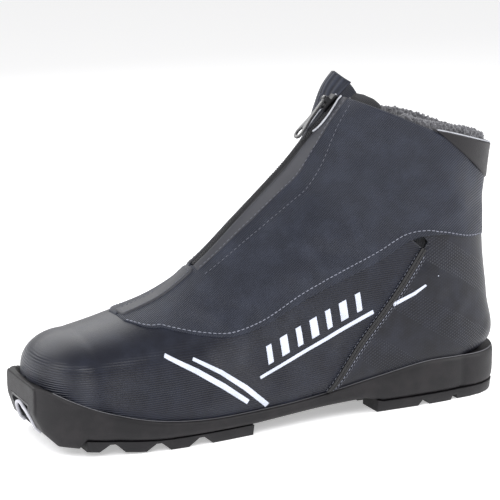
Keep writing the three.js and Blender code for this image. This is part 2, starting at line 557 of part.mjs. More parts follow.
// Places along the sole, closer together at its round ends.
const soleRun = (from, to) => {
  const inner = steps(heelX + 0.35, SOLE_FRONT, 34);
  const close = [heelX + 0.35, heelX + 1.2, heelX + 2.6, heelX + 5, heelX + 8, heelX + 12, heelX + 18, STEP_X, STEP_X + 3,
    BAR_X - 6, BAR_X - 2, BAR_X + 1, BAR_X + 4.5, SOLE_FRONT - 2];
  return [...new Set([from, to, ...inner.filter((x) => x > heelX + 14), ...close])]
    .filter((x) => x >= from && x <= to).sort((a, b) => a - b)
    .filter((x, i, all) => i === 0 || x - all[i - 1] > 0.2);
};
const block = loft(soleRun(heelX + 0.35, SOLE_FRONT).map((x) => {
  const [w, m] = [soleHalf(x, 0), soleHalf(x, 1)];
  const [low, high] = [bottomZ(x), lipZ(x)];
  const cut = Math.min(3, w / 3, m / 3);
  return [[-m + cut, low], [w - cut, low], [w - cut / 3, low + 0.2 * (high - low)], [w, mix(low, high, 0.6)],
    [w - cut / 3, high], [-m + cut / 3, high], [-m, mix(low, high, 0.6)], [-m + cut / 3, low + 0.2 * (high - low)]]
    .map(([y, z]) => new THREE.Vector3(x, y, z));
}));

// The whole upper as one closed solid, a little larger, to cut the sole's cup.
function envelope(outward) {
  const us = [...new Set([...toeRun, ...sideRun, ...tailRun, ...heelRun])].sort((a, b) => a - b);
  const n = 56;
  return loft(us.map((u) => Array.from({ length: n }, (_, j) => upper(u, 2 * Math.PI * j / n, -outward))));
}
const cup = solid(envelope(2 * GAP));
const base = solid(block).subtract(cup);
const notch = (grow) => solid(across([[BAR_X - NOTCH_BACK - grow, -10], [BAR_X - NOTCH_BACK - grow, 15 + grow],
  [BAR_X - 5, 19.5 + grow], [BAR_X + 1, 22.5 + grow], [BAR_X + TOE_FRONT + 12, 29 + grow], [BAR_X + TOE_FRONT + 12, -10]],
NOTCH_W + 2 * grow));
const pinHole = solid(across(circle(BAR_X, BAR_Z, BAR_D / 2 + GAP), NOTCH_W + 2 * BAR_BITE + 2 * GAP));
const outsole = base.subtract(notch(HOUSING + GAP)).subtract(pinHole);
add('outsole', fromSolid(outsole), BLACK, 0.8);
add('toe_bar', across(circle(BAR_X, BAR_Z, BAR_D / 2), NOTCH_W + 2 * BAR_BITE), STEEL, 0.25, 1);
const housing = notch(HOUSING).subtract(notch(0)).subtract(pinHole).intersect(solid(block));
add('toe_bar_housing', fromSolid(housing), 0xb9bcc0, 0.3);

// Treads: lugs under a plate, with two guide grooves along them.
function tread(from, to, gaps) {
  const run = soleRun(from, to);
  let body = solid(loft(run.map((x) => {
    const [w, m] = [soleHalf(x, 0) - 1.2, soleHalf(x, 1) - 1.2];
    const cut = 1.5;
    const [low, high] = [spring(x), bottomZ(x) - GAP];
    return [[-m + cut, low], [w - cut, low], [w, high], [-m, high]].map(([y, z]) => new THREE.Vector3(x, y, z));
  })));
  for (const [x, wide, deep] of gaps) {
    const z = spring(x);
    body = body.subtract(solid(across([[x - wide / 2, z - 5], [x + wide / 2, z - 5], [x + wide / 2, z],
      [x + 1.5, z + deep], [x - 1.5, z + deep], [x - wide / 2, z]], 140)));
  }
  for (const side of [-1, 1]) {
    body = body.subtract(solid(new THREE.BoxGeometry(400, RAIL_W, 2 * RAIL_DEPTH)
      .translate(150, side * RAIL_PITCH / 2, 0)));
  }
  return body;
}
const FORE_BACK = 168;
const HEEL_FRONT = 84;
const foreGaps = [0, 1, 2].map((i) => [STEP_X - 14 - i * LUG_PITCH, 15, LUG_DEPTH]);
const fore = tread(FORE_BACK, STEP_X - GAP, foreGaps);
const heel = tread(heelX + 4, HEEL_FRONT, [[52, 8, LUG_DEPTH * 0.7], [30, 5, LUG_DEPTH * 0.6]]);
add('forefoot_tread', fromSolid(fore), BLACK, 0.85);
add('heel_tread', fromSolid(heel), BLACK, 0.85);

// The origin is the bottom centre of the whole boot.
const box = new THREE.Box3().setFromObject(boot);
const middle = box.getCenter(new THREE.Vector3());
boot.position.set(-middle.x, -middle.y, -box.min.z);
boot.updateMatrixWorld(true);
export default boot;
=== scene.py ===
import math

import bmesh
import bpy
import numpy as np
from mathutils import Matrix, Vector


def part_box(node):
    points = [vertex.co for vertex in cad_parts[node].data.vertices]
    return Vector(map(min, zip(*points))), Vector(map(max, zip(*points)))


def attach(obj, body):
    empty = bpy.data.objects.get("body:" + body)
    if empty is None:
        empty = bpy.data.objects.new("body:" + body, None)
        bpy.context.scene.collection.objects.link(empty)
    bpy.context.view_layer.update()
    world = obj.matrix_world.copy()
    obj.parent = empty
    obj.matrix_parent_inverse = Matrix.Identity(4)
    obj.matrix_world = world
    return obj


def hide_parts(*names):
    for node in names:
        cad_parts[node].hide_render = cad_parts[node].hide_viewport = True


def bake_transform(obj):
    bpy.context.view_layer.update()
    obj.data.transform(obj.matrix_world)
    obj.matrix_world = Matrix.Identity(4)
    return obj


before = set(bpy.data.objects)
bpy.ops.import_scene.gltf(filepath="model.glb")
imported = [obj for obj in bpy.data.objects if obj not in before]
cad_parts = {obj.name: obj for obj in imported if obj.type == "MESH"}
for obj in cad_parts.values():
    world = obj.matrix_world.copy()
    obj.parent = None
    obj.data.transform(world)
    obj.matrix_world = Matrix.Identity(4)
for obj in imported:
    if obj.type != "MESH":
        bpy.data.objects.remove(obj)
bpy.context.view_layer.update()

# ---- Vamp --------------------------------------------------------------------------------------
# One piece of coated cloth from the toe to the heel seams, lasted under at its lower edge, with the
# cover sewn over its upper edge. Like every soft piece it is drawn on the skin of the last, a foot-shaped
# block: a run of closed sections from the toe to the collar that fan about the instep.
MM = 0.001
DEG = math.pi / 180
bar_low, bar_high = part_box("toe_bar")
BAR_X, BAR_Z = 283.0, 12.5
MOVE = np.array([(bar_low.x + bar_high.x) / 2 - BAR_X * MM, (bar_low.y + bar_high.y) / 2, 0.0])
TOE_X, TOE_Z, TOE_ROUND = 288.5, 39.0, 0.18
# place, ridge x and z, back x and z, outer and inner half widths, widest point, ridge and back squareness
LAST = np.array([
    [0.18, 259, 61.5, 258, 19.5, 43, 41, 0.36, 2.3, 4.6],
    [0.29, 234, 67.5, 230, 12.5, 48.5, 45.5, 0.33, 2.3, 5.0],
    [0.38, 207, 77.5, 194, 10.0, 49.5, 46.5, 0.32, 2.0, 5.0],
    [0.47, 184, 95.0, 148, 10.5, 44, 40, 0.30, 1.65, 5.0],
    [0.57, 160, 118.0, 98, 15.0, 38.5, 35, 0.28, 1.5, 5.0],
    [0.67, 139, 138.0, 46, 20.5, 36, 34, 0.30, 1.45, 5.0],
    [0.72, 131.5, 145.2, 18, 22.5, 36, 34, 0.34, 1.42, 4.2],
    [0.75, 127, 149.5, 0.5, 29.0, 36, 34, 0.38, 1.45, 3.2],
    [0.82, 117, 159.1, -2, 57.0, 35, 33, 0.40, 1.6, 2.4],
    [0.88, 109, 166.7, 1, 85.0, 36, 34, 0.43, 1.8, 2.2],
    [0.94, 101, 174.4, 2.5, 114.0, 37, 36, 0.46, 2.1, 2.2],
    [1.00, 92, 183.0, 1, 143.0, 38, 38, 0.50, 2.5, 2.3],
    [1.06, 83, 191.6, -1, 158.0, 39, 40, 0.50, 2.5, 2.3],
])


def mix(a, b, t):
    """a where t is 0 and b where it is 1, in a straight line between."""
    return a + (b - a) * t


def smooth(t):
    """0 below 0, 1 above 1, and 3t^2 - 2t^3 between."""
    t = np.clip(t, 0, 1)
    return t * t * (3 - 2 * t)


def curve(xs, ys):
    """Cubic pieces through the points (xs, ys); the slope at a point is the mean of the chords beside
    it, each weighted by the other's length."""
    xs, ys = np.asarray(xs, float), np.asarray(ys, float)
    step = np.diff(xs)
    chord = np.diff(ys) / step
    inner = (chord[:-1] * step[1:] + chord[1:] * step[:-1]) / (step[:-1] + step[1:])
    slope = np.concatenate([chord[:1], inner, chord[-1:]])

    def at(x):
        i = np.clip(np.searchsorted(xs, x, side="left") - 1, 0, len(step) - 1)
        h = step[i]
        t = (x - xs[i]) / h
        return (ys[i] * (2 * t**3 - 3 * t**2 + 1) + h * slope[i] * (t**3 - 2 * t**2 + t)
                + ys[i + 1] * (3 * t**2 - 2 * t**3) + h * slope[i + 1] * (t**3 - t**2))
    return at


RIDGE_X, RIDGE_Z, BACK_X, BACK_Z, OUTER, INNER, WIDEST, RIDGE_POWER, BACK_POWER = (
    curve(LAST[:, 0], LAST[:, k]) for k in range(1, 10))


def unit(v):
    """Each vector divided by its own length."""
    return v / np.linalg.norm(v, axis=-1, keepdims=True)


def on_last(u, f, depth=0.0):
    """The last's skin in millimetres before MOVE. u runs from the toe to the collar; the section's angle f
    is 0 on the ridge, 90 degrees on the outer side and 180 under the foot or at the heel. The section is
    |c|^p + |s|^p = 1 stretched over the ridge, back and half widths; the toe closes on a quarter circle."""
    u, f, depth = np.broadcast_arrays(np.asarray(u, float), np.asarray(f, float), np.asarray(depth, float))
    v = np.maximum(u, TOE_ROUND)
    turn = np.clip(u / TOE_ROUND, 0, 1) * np.pi / 2
    ridge = np.stack([RIDGE_X(v), RIDGE_Z(v)], -1)
    back = np.stack([BACK_X(v), BACK_Z(v)], -1)
    inward = back - ridge
    inward *= depth[..., None] / np.linalg.norm(inward, axis=-1, keepdims=True)
    tip = np.stack([TOE_X - depth, np.full(u.shape, TOE_Z)], -1)
    open_by = np.stack([1 - np.cos(turn), np.sin(turn)], -1)
    ridge = tip + (ridge + inward - tip) * open_by
    back = tip + (back - inward - tip) * open_by
    c, s = np.cos(f), np.sin(f)
    power = mix(BACK_POWER(v), RIDGE_POWER(v), smooth(0.5 + 0.5 * c))
    r = (np.abs(c) ** power + np.abs(s) ** power) ** (-1 / power)
    up = r * c
    wide = WIDEST(v)
    h = wide + np.where(up > 0, (1 - wide) * up, wide * up)
    half = (np.where(s > 0, OUTER(v), INNER(v)) - depth) * np.sin(turn)
    middle = back + (ridge - back) * h[..., None]
    return np.stack([middle[..., 0], r * s * half, middle[..., 1]], -1)


def skin(u, f, lift=0.0, depth=0.0):
    """Points of the last in metres, moved outwards along the surface's own normal by lift metres."""
    e = 0.0015
    u, f = np.broadcast_arrays(np.asarray(u, float), np.asarray(f, float))
    along = on_last(u + e, f, depth) - on_last(np.maximum(u - e, 0), f, depth)
    around = on_last(u, f + e, depth) - on_last(u, f - e, depth)
    n = np.cross(around, along)
    size = np.linalg.norm(n, axis=-1, keepdims=True)
    n = np.where(size > 1e-9, n / np.maximum(size, 1e-9), np.array([1.0, 0, 0]))
    lift = np.asarray(lift, float)
    return on_last(u, f, depth) * MM + MOVE + n * (lift[..., None] if lift.ndim else lift), n


def side_cut(us, above):
    """For each place, the angle at which the skin crosses a line of the side view: above(x, z) is
    positive on the ridge's side of the line, and halving the range 30 times finds its zero."""
    low, high = np.zeros_like(us), np.full_like(us, np.pi)
    for _ in range(30):
        middle = (low + high) / 2
        p = on_last(us, middle)
        is_above = above(p[:, 0], p[:, 2]) > 0
        low, high = np.where(is_above, middle, low), np.where(is_above, high, middle)
    return curve(us, low)


class Wire:
    """A node's output in a sum of a finish's graph; each operator adds one Math node."""

    def __init__(self, finish, socket):
        self.finish, self.socket = finish, socket

    def math(self, operation, *others, swap=False):
        values = [self, *others][::-1] if swap else [self, *others]
        return self.finish.node("Math", {"operation": operation}, dict(enumerate(values)))

    def __add__(self, other):
        return self.math("ADD", other)

    def __sub__(self, other):
        return self.math("SUBTRACT", other)

    def __rsub__(self, other):
        return self.math("SUBTRACT", other, swap=True)

    def __mul__(self, other):
        return self.math("MULTIPLY", other)

    __radd__ = __add__
    __rmul__ = __mul__

    def wave(self, period):
        """0 to 1 and back in each period."""
        return (self * (2 * math.pi / period)).math("SINE") * 0.5 + 0.5

    def between(self, low, high):
        """0 below low and 1 above high, with a smooth step between."""
        return self.finish.node("MapRange", {"interpolation_type": "SMOOTHSTEP"},
                                {"Value": self, "From Min": low, "From Max": high})


class Finish:
    """A material with its Principled shader."""

    def __init__(self, name, **fixed):
        self.material = bpy.data.materials.new(name)
        self.material.use_nodes = True
        self.tree = self.material.node_tree
        self.shader = self.tree.nodes["Principled BSDF"]
        self.set(**fixed)
        coordinates = self.tree.nodes.new("ShaderNodeTexCoord")
        self.place = Wire(self, coordinates.outputs["Object"])
        self.cloth = Wire(self, coordinates.outputs["UV"])

    def node(self, kind, settings=None, inputs=None, output=0):
        """A new node of a type, with its settings made first and then its sockets' values or links."""
        node = self.tree.nodes.new("ShaderNode" + kind)
        for key, value in (settings or {}).items():
            setattr(node, key, value)
        for key, value in (inputs or {}).items():
            self.link(value, node.inputs[key])
        return Wire(self, node.outputs[output])

    def link(self, value, socket):
        """Links a wire to a socket, or sets the socket to a plain value."""
        if isinstance(value, Wire):
            self.tree.links.new(value.socket, socket)
        else:
            socket.default_value = value

    def set(self, **sockets):
        """Sets or links the shader's own sockets by name; three numbers are a colour."""
        for key, value in sockets.items():
            if isinstance(value, tuple) and len(value) == 3:
                value = (*value, 1)
            self.link(value, self.shader.inputs[key.replace("_", " ")])

    def axes(self, source=None):
        """x, y and z of a vector, which is the place on the object unless another is given."""
        split = self.tree.nodes.new("ShaderNodeSeparateXYZ")
        self.tree.links.new((source or self.place).socket, split.inputs[0])
        return [Wire(self, s) for s in split.outputs]

    def noise(self, size, detail=3.0, rough=0.55):
        """Smooth noise, 0 to 1, whose lumps are about size metres."""
        return self.node("TexNoise", None, {"Vector": self.place, "Scale": 1 / size, "Detail": detail,
                                            "Roughness": rough})

    def blend(self, factor, a, b):
        """Colour a where the factor is 0 and colour b where it is 1."""
        node = self.tree.nodes.new("ShaderNodeMix")
        node.data_type = "RGBA"
        self.link(factor, node.inputs[0])
        for value, socket in ((a, node.inputs[6]), (b, node.inputs[7])):
            self.link((*value, 1) if isinstance(value, tuple) else value, socket)
        return Wire(self, node.outputs[2])

    def bump(self, height, depth):
        """The normal of a relief whose height 1 stands depth metres proud."""
        return self.node("Bump", None, {"Height": height, "Distance": depth, "Strength": 1.0})


def weld(name, vertices, faces, material, uv=None):
    """A smooth mesh object from arrays, with equal corners merged."""
    mesh = bpy.data.meshes.new(name)
    mesh.from_pydata(np.asarray(vertices).tolist(), [], np.asarray(faces).tolist())
    if uv is not None:
        layer = mesh.uv_layers.new(name="cloth")
        corner = np.empty(len(mesh.loops), np.int32)
        mesh.loops.foreach_get("vertex_index", corner)
        layer.data.foreach_set("uv", np.asarray(uv, np.float32)[corner].ravel())
    b = bmesh.new()
    b.from_mesh(mesh)
    bmesh.ops.remove_doubles(b, verts=b.verts, dist=2e-6)
    bmesh.ops.dissolve_degenerate(b, dist=1e-6, edges=b.edges)
    b.to_mesh(mesh)
    b.free()
    mesh.polygons.foreach_set("use_smooth", np.ones(len(mesh.polygons), bool))
    mesh.materials.append(material)
    piece = bpy.data.objects.new(name, mesh)
    bpy.context.scene.collection.objects.link(piece)
    return piece


def cells(rows, columns, first=0, turned=False):
    """Quads of a grid of rows by columns whose corners count from first."""
    k = first + np.arange(rows * columns).reshape(rows, columns)
    quads = np.stack([k[:-1, :-1], k[:-1, 1:], k[1:, 1:], k[1:, :-1]], -1).reshape(-1, 4)
    return quads[:, ::-1] if turned else quads


def distances(points):
    """How far each point of a grid is along its column and along its row from the first one, in metres."""
    down = np.linalg.norm(np.diff(points, axis=0), axis=-1)
    across = np.linalg.norm(np.diff(points, axis=1), axis=-1)
    zero_row, zero_column = np.zeros((1, points.shape[1])), np.zeros((points.shape[0], 1))
    return np.concatenate([zero_row, down.cumsum(0)]), np.concatenate([zero_column, across.cumsum(1)], 1)


def edge_distance(points, open_edges):
    """Distance to the nearest cut edge of a grid; open_edges names them: first or last row, left or right."""
    down, across = distances(points)
    near = np.full(down.shape, 1.0)
    for name, far in (("first", down), ("last", down[-1:] - down), ("left", across),
                      ("right", across[:, -1:] - across)):
        if name in open_edges:
            near = np.minimum(near, far)
    return near


def shell_mesh(outer, inner, turned=False):
    """Corners and quads of a closed shell between two grids of equal size."""
    rows, columns = outer.shape[:2]
    size = rows * columns
    k = np.arange(size).reshape(rows, columns)
    ring = np.concatenate([k[0, :-1], k[:-1, -1], k[-1, :0:-1], k[:0:-1, 0]])
    after = np.roll(ring, -1)
    wall = np.stack([after, ring, ring + size, after + size], -1)
    faces = np.concatenate([cells(rows, columns), cells(rows, columns, size, True), wall])
    points = np.concatenate([outer.reshape(-1, 3), inner.reshape(-1, 3)])
    return points, faces[:, ::-1] if turned else faces


def sewn(name, u, f, material, side=1, thick=0.0016, height=0.0, cut="", roll=0.0011, depth=0.0, push=0.0):
    """A sewn panel on a grid of places and angles: the last's skin at a depth in millimetres, moved out by
    height, its cut edges rolled down by a quarter circle of the given radius, and closed at thick below."""
    base, n = skin(u, f, depth=depth)
    base = base + push
    height = np.broadcast_to(np.asarray(height, float), base.shape[:2])
    near = np.clip(edge_distance(base, cut) / roll, 0, 1) if cut else np.ones(base.shape[:2])
    top = base + n * (height - roll * (1 - np.sqrt(1 - (1 - near) ** 2)))[..., None]
    bottom = base + n * (height - thick)[..., None]
    points, faces = shell_mesh(top, bottom, side < 0)
    along, across = distances(base)
    uv = np.stack([along, across], -1).reshape(-1, 2)
    return weld(name, points, faces, material, np.concatenate([uv, uv]))


def between(us, low, high, count, side=1):
    """The grid of places us and of angles from low(u) to high(u) in count columns."""
    f = side * mix(low(us)[:, None], high(us)[:, None], np.linspace(0, 1, count)[None])
    return np.repeat(us[:, None], count, 1), f


def panel(name, us, low, high, count, material, side=1, relief=None, lift=0.0, **cloth):
    """A sewn panel between two angles, with relief(points in mm) added to its height."""
    u, f = between(us, low, high, count, side)
    height = lift if relief is None else lift + relief(on_last(u, f))
    return sewn(name, u, f, material, side, height=height, **cloth)


def join(first, *others, whole=False):
    """The first piece with the meshes of the others in it; whole pieces lose the walls between two sides
    that meet in the middle plane."""
    b = bmesh.new()
    for o in (first, *others):
        b.from_mesh(o.data)
    if whole:
        bmesh.ops.remove_doubles(b, verts=b.verts, dist=2e-6)
        inner = [f for f in b.faces if all(abs(v.co.y - MOVE[1]) < 2e-6 for v in f.verts)]
        bmesh.ops.delete(b, geom=inner, context="FACES")
    b.to_mesh(first.data)
    b.free()
    for o in others:
        bpy.data.objects.remove(o)
    first.data.polygons.foreach_set("use_smooth", np.ones(len(first.data.polygons), bool))
    return first


def own(piece, body, slot, *replaced):
    """Puts a piece on its body and hides the CAD nodes it replaces; the slot, its finish, is not used."""
    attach(piece, body)
    if replaced:
        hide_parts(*replaced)
    return piece


def ribbed(name, base, dark, shine, rib, rough, **fixed):
    """Ribbed cloth: each rib is lighter on its crest and a little glossier, worn unevenly by noise."""
    g = Finish(name, **fixed)
    line = rib(g)
    wear = g.noise(0.012, 4)
    grain = g.noise(0.0006, 2)
    color = g.blend(line * 0.8 + grain * 0.2, dark, base)
    color = g.blend(wear.between(0.35, 0.75) * 0.45, color, shine)
    g.set(Base_Color=color, Roughness=(line * -0.12 + wear * 0.14) + rough,
          Normal=g.bump(line * 0.8 + grain * 0.3, 0.00026))
    return g.material


def level(g):
    """Level ribs that dip a little to the toe, 1.25 mm apart, and fade where the cloth faces up."""
    x, y, z = g.axes()
    facing = g.axes(g.node("NewGeometry", output=1))[2].math("ABSOLUTE").between(0.45, 0.8)
    line = (z + x * 0.05 + g.noise(0.04, 1) * 0.0008).wave(0.00125)
    return line + facing * (0.5 - line)


COATED = ribbed("coated_cloth", (0.012, 0.014, 0.025), (0.002, 0.002, 0.005), (0.018, 0.022, 0.038),
                level, 0.34, Specular_IOR_Level=0.34)



FEATHER = 150 * DEG
COVER_START, COVER_BACK, SEAM_LOW, SEAM_TIP = 0.29, 0.908, 0.515, 0.785
COVER_LINE = curve([-10, 22, 45, 63, 79, 131, 162, 180, 200, 218, 232],
                   [98, 98.5, 103, 101, 93, 74, 62, 59, 61.5, 65.5, 69])
side_edge = side_cut(np.linspace(0.34, 0.90, 57), lambda x, z: z - COVER_LINE(x))
front_edge = curve([COVER_START, 0.305, 0.32, 0.34], [14 * DEG, 25 * DEG, 32 * DEG, side_edge(0.34)])


def cover_edge(u):
    """Angle of the cover's lower edge at each place."""
    back = mix(side_edge(0.90), np.pi, np.clip((u - 0.90) / (COVER_BACK - 0.90), 0, 1))
    return np.where(u < 0.34, front_edge(np.clip(u, COVER_START, 0.34)),
                    np.where(u < 0.90, side_edge(np.clip(u, 0.34, 0.90)), back))


SEAM_LINE = curve([13, 41, 67, 98], [121, 100, 77, 54])
seam_cut = side_cut(np.linspace(0.53, 0.83, 41), lambda x, z: x - SEAM_LINE(z))


def heel_seam(u):
    """Angle of the seam between the vamp and the heel panel."""
    return np.minimum(FEATHER, seam_cut(np.clip(u, 0.53, 0.83)))


def hollows(points, lines):
    """Soft folds: each line (x0, z0, x1, z1, width, height) adds height times a bell across its width that
    fades over the line's last quarters. Millimetres of the side view in, metres out."""
    x, z = points[..., 0], points[..., 2]
    total = np.zeros(x.shape)
    for x0, z0, x1, z1, width, height in lines:
        dx, dz = x1 - x0, z1 - z0
        size = math.hypot(dx, dz)
        s = ((x - x0) * dx + (z - z0) * dz) / size**2
        d = ((x - x0) * dz - (z - z0) * dx) / size
        total += height * np.exp(-((d / width) ** 2)) * smooth(s * 4) * smooth((1 - s) * 4)
    return total * MM


VAMP_FOLDS = [(262, 50, 214, 30, 9, -0.5), (225, 56, 196, 24, 7, -0.6), (205, 58, 182, 22, 5, 0.5),
              (180, 50, 150, 25, 9, -0.5), (140, 62, 110, 40, 8, 0.5)]


def vamp_relief(points):
    """The vamp's folds, which fade towards the ridge."""
    return hollows(points, VAMP_FOLDS) * smooth(np.abs(points[..., 1]) / 20 - 0.5)


UNDER_COVER, UNDER_HEEL_PANEL = 3.5 * DEG, 1.5 * DEG
SPLIT = COVER_START + 0.006


def vamp_top(u):
    """The ridge as far as the cover, then UNDER_COVER above the cover's edge."""
    edge = cover_edge(np.maximum(u, COVER_START)) - UNDER_COVER
    return np.where(u <= SPLIT, 0.0, np.maximum(edge * smooth((u - SPLIT) / 0.02), 0))


def vamp_low(u):
    """The feather line under the foot, then UNDER_HEEL_PANEL beyond the heel seam."""
    return np.where(u <= SEAM_LOW, FEATHER, heel_seam(u) + UNDER_HEEL_PANEL)


toe_us = np.concatenate([np.linspace(0, 0.02, 5)[:-1], np.linspace(0.02, COVER_START, 52)])
side_us = np.linspace(COVER_START, SEAM_TIP, 130)
vamp = join(*[panel("vamp_half", np.concatenate([toe_us, side_us[1:]]), vamp_top, vamp_low, 74, COATED, side,
                    relief=vamp_relief) for side in (1, -1)], whole=True)
vamp.name = "vamp_cloth"
own(vamp, "boot", "coated_upper", "vamp")

# ---- Heel panel --------------------------------------------------------------------------------
# A second piece of coated cloth, with a printed net, that wraps the heel over its stiff counter. It
# is sewn to the vamp on both sides and tucked under the cover's lower edge.
SEAM_HIGH = 0.81


def netted(g):
    """A net of small diamonds, printed over in broad slanting bands."""
    x, y, z = g.axes()
    one = (z + x * 0.62 + y * 0.3).wave(0.0019)
    two = (z - x * 0.62 - y * 0.3).wave(0.0019)
    bands = (z * 0.85 - x * 0.5).wave(0.034).between(0.42, 0.5)
    return one * two * (1 - bands * 0.75)


NETTED = ribbed("netted_cloth", (0.014, 0.016, 0.027), (0.002, 0.002, 0.005), (0.020, 0.023, 0.038),
                netted, 0.34, Specular_IOR_Level=0.34)
heel_us = np.linspace(SEAM_LOW + 0.006, COVER_BACK + 0.012, 110)
HEEL_FOLDS = [(60, 88, 40, 64, 6, 0.7), (30, 60, 6, 40, 9, -0.6)]
HEEL_LIFT = 0.0002


def heel_top(u):
    """The heel seam, then a line 2 degrees above the cover's edge."""
    return np.where(u < SEAM_HIGH, heel_seam(u),
                    np.minimum(cover_edge(np.minimum(u, 0.9)), cover_edge(u)) - 2 * DEG)


heel_panel = join(*[panel("heel_half", heel_us, heel_top, lambda u: np.full_like(u, np.pi), 60, NETTED, side,
                          lift=HEEL_LIFT, relief=lambda p: hollows(p, HEEL_FOLDS))
                    for side in (1, -1)], whole=True)
heel_panel.name = "heel_cloth"
own(heel_panel, "boot", "coated_upper", "heel_panel")

# ---- Cover -------------------------------------------------------------------------------------
# A softshell cover over the laces, one piece on each side, sewn to the vamp along its lower edge and
# split down the front by the zip. It opens along a line from the foot of the zip to the collar, but is not bent
# open here.
ZIP_LOW, ZIP_HALF, PATCH_HALF, RIM, RIM_INNER = 0.455, 2.9, 9.0, 1.0, 1.05
HINGE_TOP, HINGE_MID = 54 * DEG, (0.75, 38 * DEG)


def diagonal(g):
    """Ribs parallel to the zip, 1.25 mm apart."""
    x, y, z = g.axes()
    return (x * 0.66 + z * 0.75 - y.math("ABSOLUTE") * 0.7 + g.noise(0.03, 1) * 0.0006).wave(0.00125)


def film(name, color, rough, grain_size=0.0007, **fixed):
    """Smooth film with a fine leather grain and slight smudges."""
    g = Finish(name, **fixed)
    grain, smudge = g.noise(grain_size, 4), g.noise(0.009, 3)
    g.set(Base_Color=g.blend(smudge, tuple(c * 0.75 for c in color), tuple(c * 1.3 for c in color)),
          Roughness=smudge * 0.2 + rough, Normal=g.bump(grain, 0.00012))
    return g.material


def run_along(route):
    """Distance along a route at each of its points."""
    return np.concatenate([[0], np.linalg.norm(np.diff(route, axis=0), axis=1).cumsum()])


def along_route(route, normals, pitch, start=0.5):
    """Evenly spaced points on a route with the direction and normal there: (centres, along, across, up)."""
    run = run_along(route)
    s = np.arange(start * pitch, run[-1] - (1 - start) * pitch + 1e-9, pitch)
    take = lambda values, at: np.stack([np.interp(at, run, values[:, k]) for k in range(3)], -1)
    centre = take(route, s)
    along = unit(take(route, np.minimum(s + pitch / 4, run[-1])) - take(route, np.maximum(s - pitch / 4, 0)))
    up = take(normals, s)
    up = unit(up - along * (up * along).sum(1, keepdims=True))
    return centre, along, np.cross(up, along), up


def repeat(template, faces, frames):
    """Copies of a small shape at many frames: corner = centre + x along + y across + z up."""
    centre, along, across, up = frames
    points = (centre[:, None] + template[None, :, :1] * along[:, None]
              + template[None, :, 1:2] * across[:, None] + template[None, :, 2:] * up[:, None])
    shift = len(template) * np.arange(len(centre))[:, None, None]
    return points.reshape(-1, 3), (faces[None] + shift).reshape(-1, faces.shape[1])


def capsule(length, radius, bow):
    """A short thread: rings whose radius follows a half ellipse, bowed down at its ends."""
    x = np.sin(np.linspace(-1, 1, 7) * np.pi / 2)
    ring = np.arange(6) * np.pi / 3
    r = radius * np.sqrt(np.maximum(1 - np.abs(x) ** 4, 0.004))
    points = np.stack(np.broadcast_arrays(
        (x * length / 2)[:, None] + 0 * ring, r[:, None] * np.cos(ring), r[:, None] * np.sin(ring)
        - bow * (x**2)[:, None]), -1)
    k = np.arange(42).reshape(7, 6)
    after = np.roll(k, -1, 1)
    quads = np.stack([k[:-1], k[1:], after[1:], after[:-1]], -1).reshape(-1, 4)
    return points.reshape(-1, 3), quads[:, ::-1]


def stitches(name, route, normals, material, pitch, length=0.0022, radius=0.00028):
    """A row of stitches on the boot along a route."""
    template, faces = capsule(length, radius, 0.00022)
    points, quads = repeat(template, faces, along_route(route, normals, pitch))
    return own(weld(name, points, quads, material), "boot", "seam_trim")


SOFTSHELL = ribbed("softshell", (0.022, 0.026, 0.042), (0.004, 0.005, 0.010), (0.034, 0.040, 0.062),
                   diagonal, 0.52, Sheen_Weight=0.05, Sheen_Roughness=0.4, Specular_IOR_Level=0.3)
THREAD = film("thread", (0.21, 0.22, 0.27), 0.55, 0.0003)


def hinge_line(side, rim):
    """The foot of the line about which a side of the cover opens, and the direction across it, towards
    the zip."""
    low = skin(ZIP_LOW, side * PATCH_HALF / OUTER(ZIP_LOW))[0]
    high = skin(rim, side * HINGE_TOP)[0]
    upright = skin(HINGE_MID[0], side * HINGE_MID[1])[1]
    across = unit(np.cross(unit(high - low), upright))
    return low, across * np.sign(across @ (skin(HINGE_MID[0], 0.0)[0] - low))


HINGES = {1: hinge_line(1, RIM), -1: hinge_line(-1, RIM_INNER)}
BEND = 0.011


def bend(piece, side, slot, *replaced):
    """Bakes the piece's place into its mesh and hides the CAD nodes it replaces; it is not bent about the hinge
    line.
    """
    low, across = HINGES[side]
    tuple(low + across * BEND)
    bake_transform(piece)
    if replaced:
        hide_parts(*replaced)


COVER_FOLDS = [(112, 165, 120, 140, 5, 1.5), (120, 146, 150, 112, 5, 1.3), (112, 140, 140, 105, 6, -1.5),
               (96, 150, 70, 118, 10, -0.9), (60, 150, 24, 112, 9, 0.8), (80, 128, 40, 104, 7, 0.9),
               (150, 92, 118, 80, 7, 0.9), (130, 100, 92, 94, 6, -0.9), (186, 74, 160, 66, 6, 0.5),
               (200, 78, 176, 62, 5, -0.5), (30, 150, 8, 110, 9, -0.7)]
COVER_LIFT, RIM_DIP, COVER_THICK = 0.0008, 0.02, 0.0018
zip_top = on_last(RIM, 0.0) * MM + MOVE
DOWN = unit(on_last(ZIP_LOW + 0.03, 0.0) * MM + MOVE - zip_top)
OUT = np.cross(DOWN, [0, 1, 0])


def cover_height(u, f):
    """Height of the cover's face above the last."""
    p = on_last(u, f)
    y = np.abs(p[..., 1])
    return COVER_LIFT + 1.5 * hollows(p, COVER_FOLDS) * smooth(y / 12 - 0.3)


def stand_away(u, f):
    """How far the inner side of the cover stands off the leg beside the zip, in metres along OUT: a bell
    of the angle that grows to the collar."""
    bell = np.exp(-(((f / DEG + 30) / 17) ** 2)) * smooth(-f / DEG / 9)
    return (0.0085 * smooth((u - 0.55) / 0.5) * bell)[..., None] * OUT


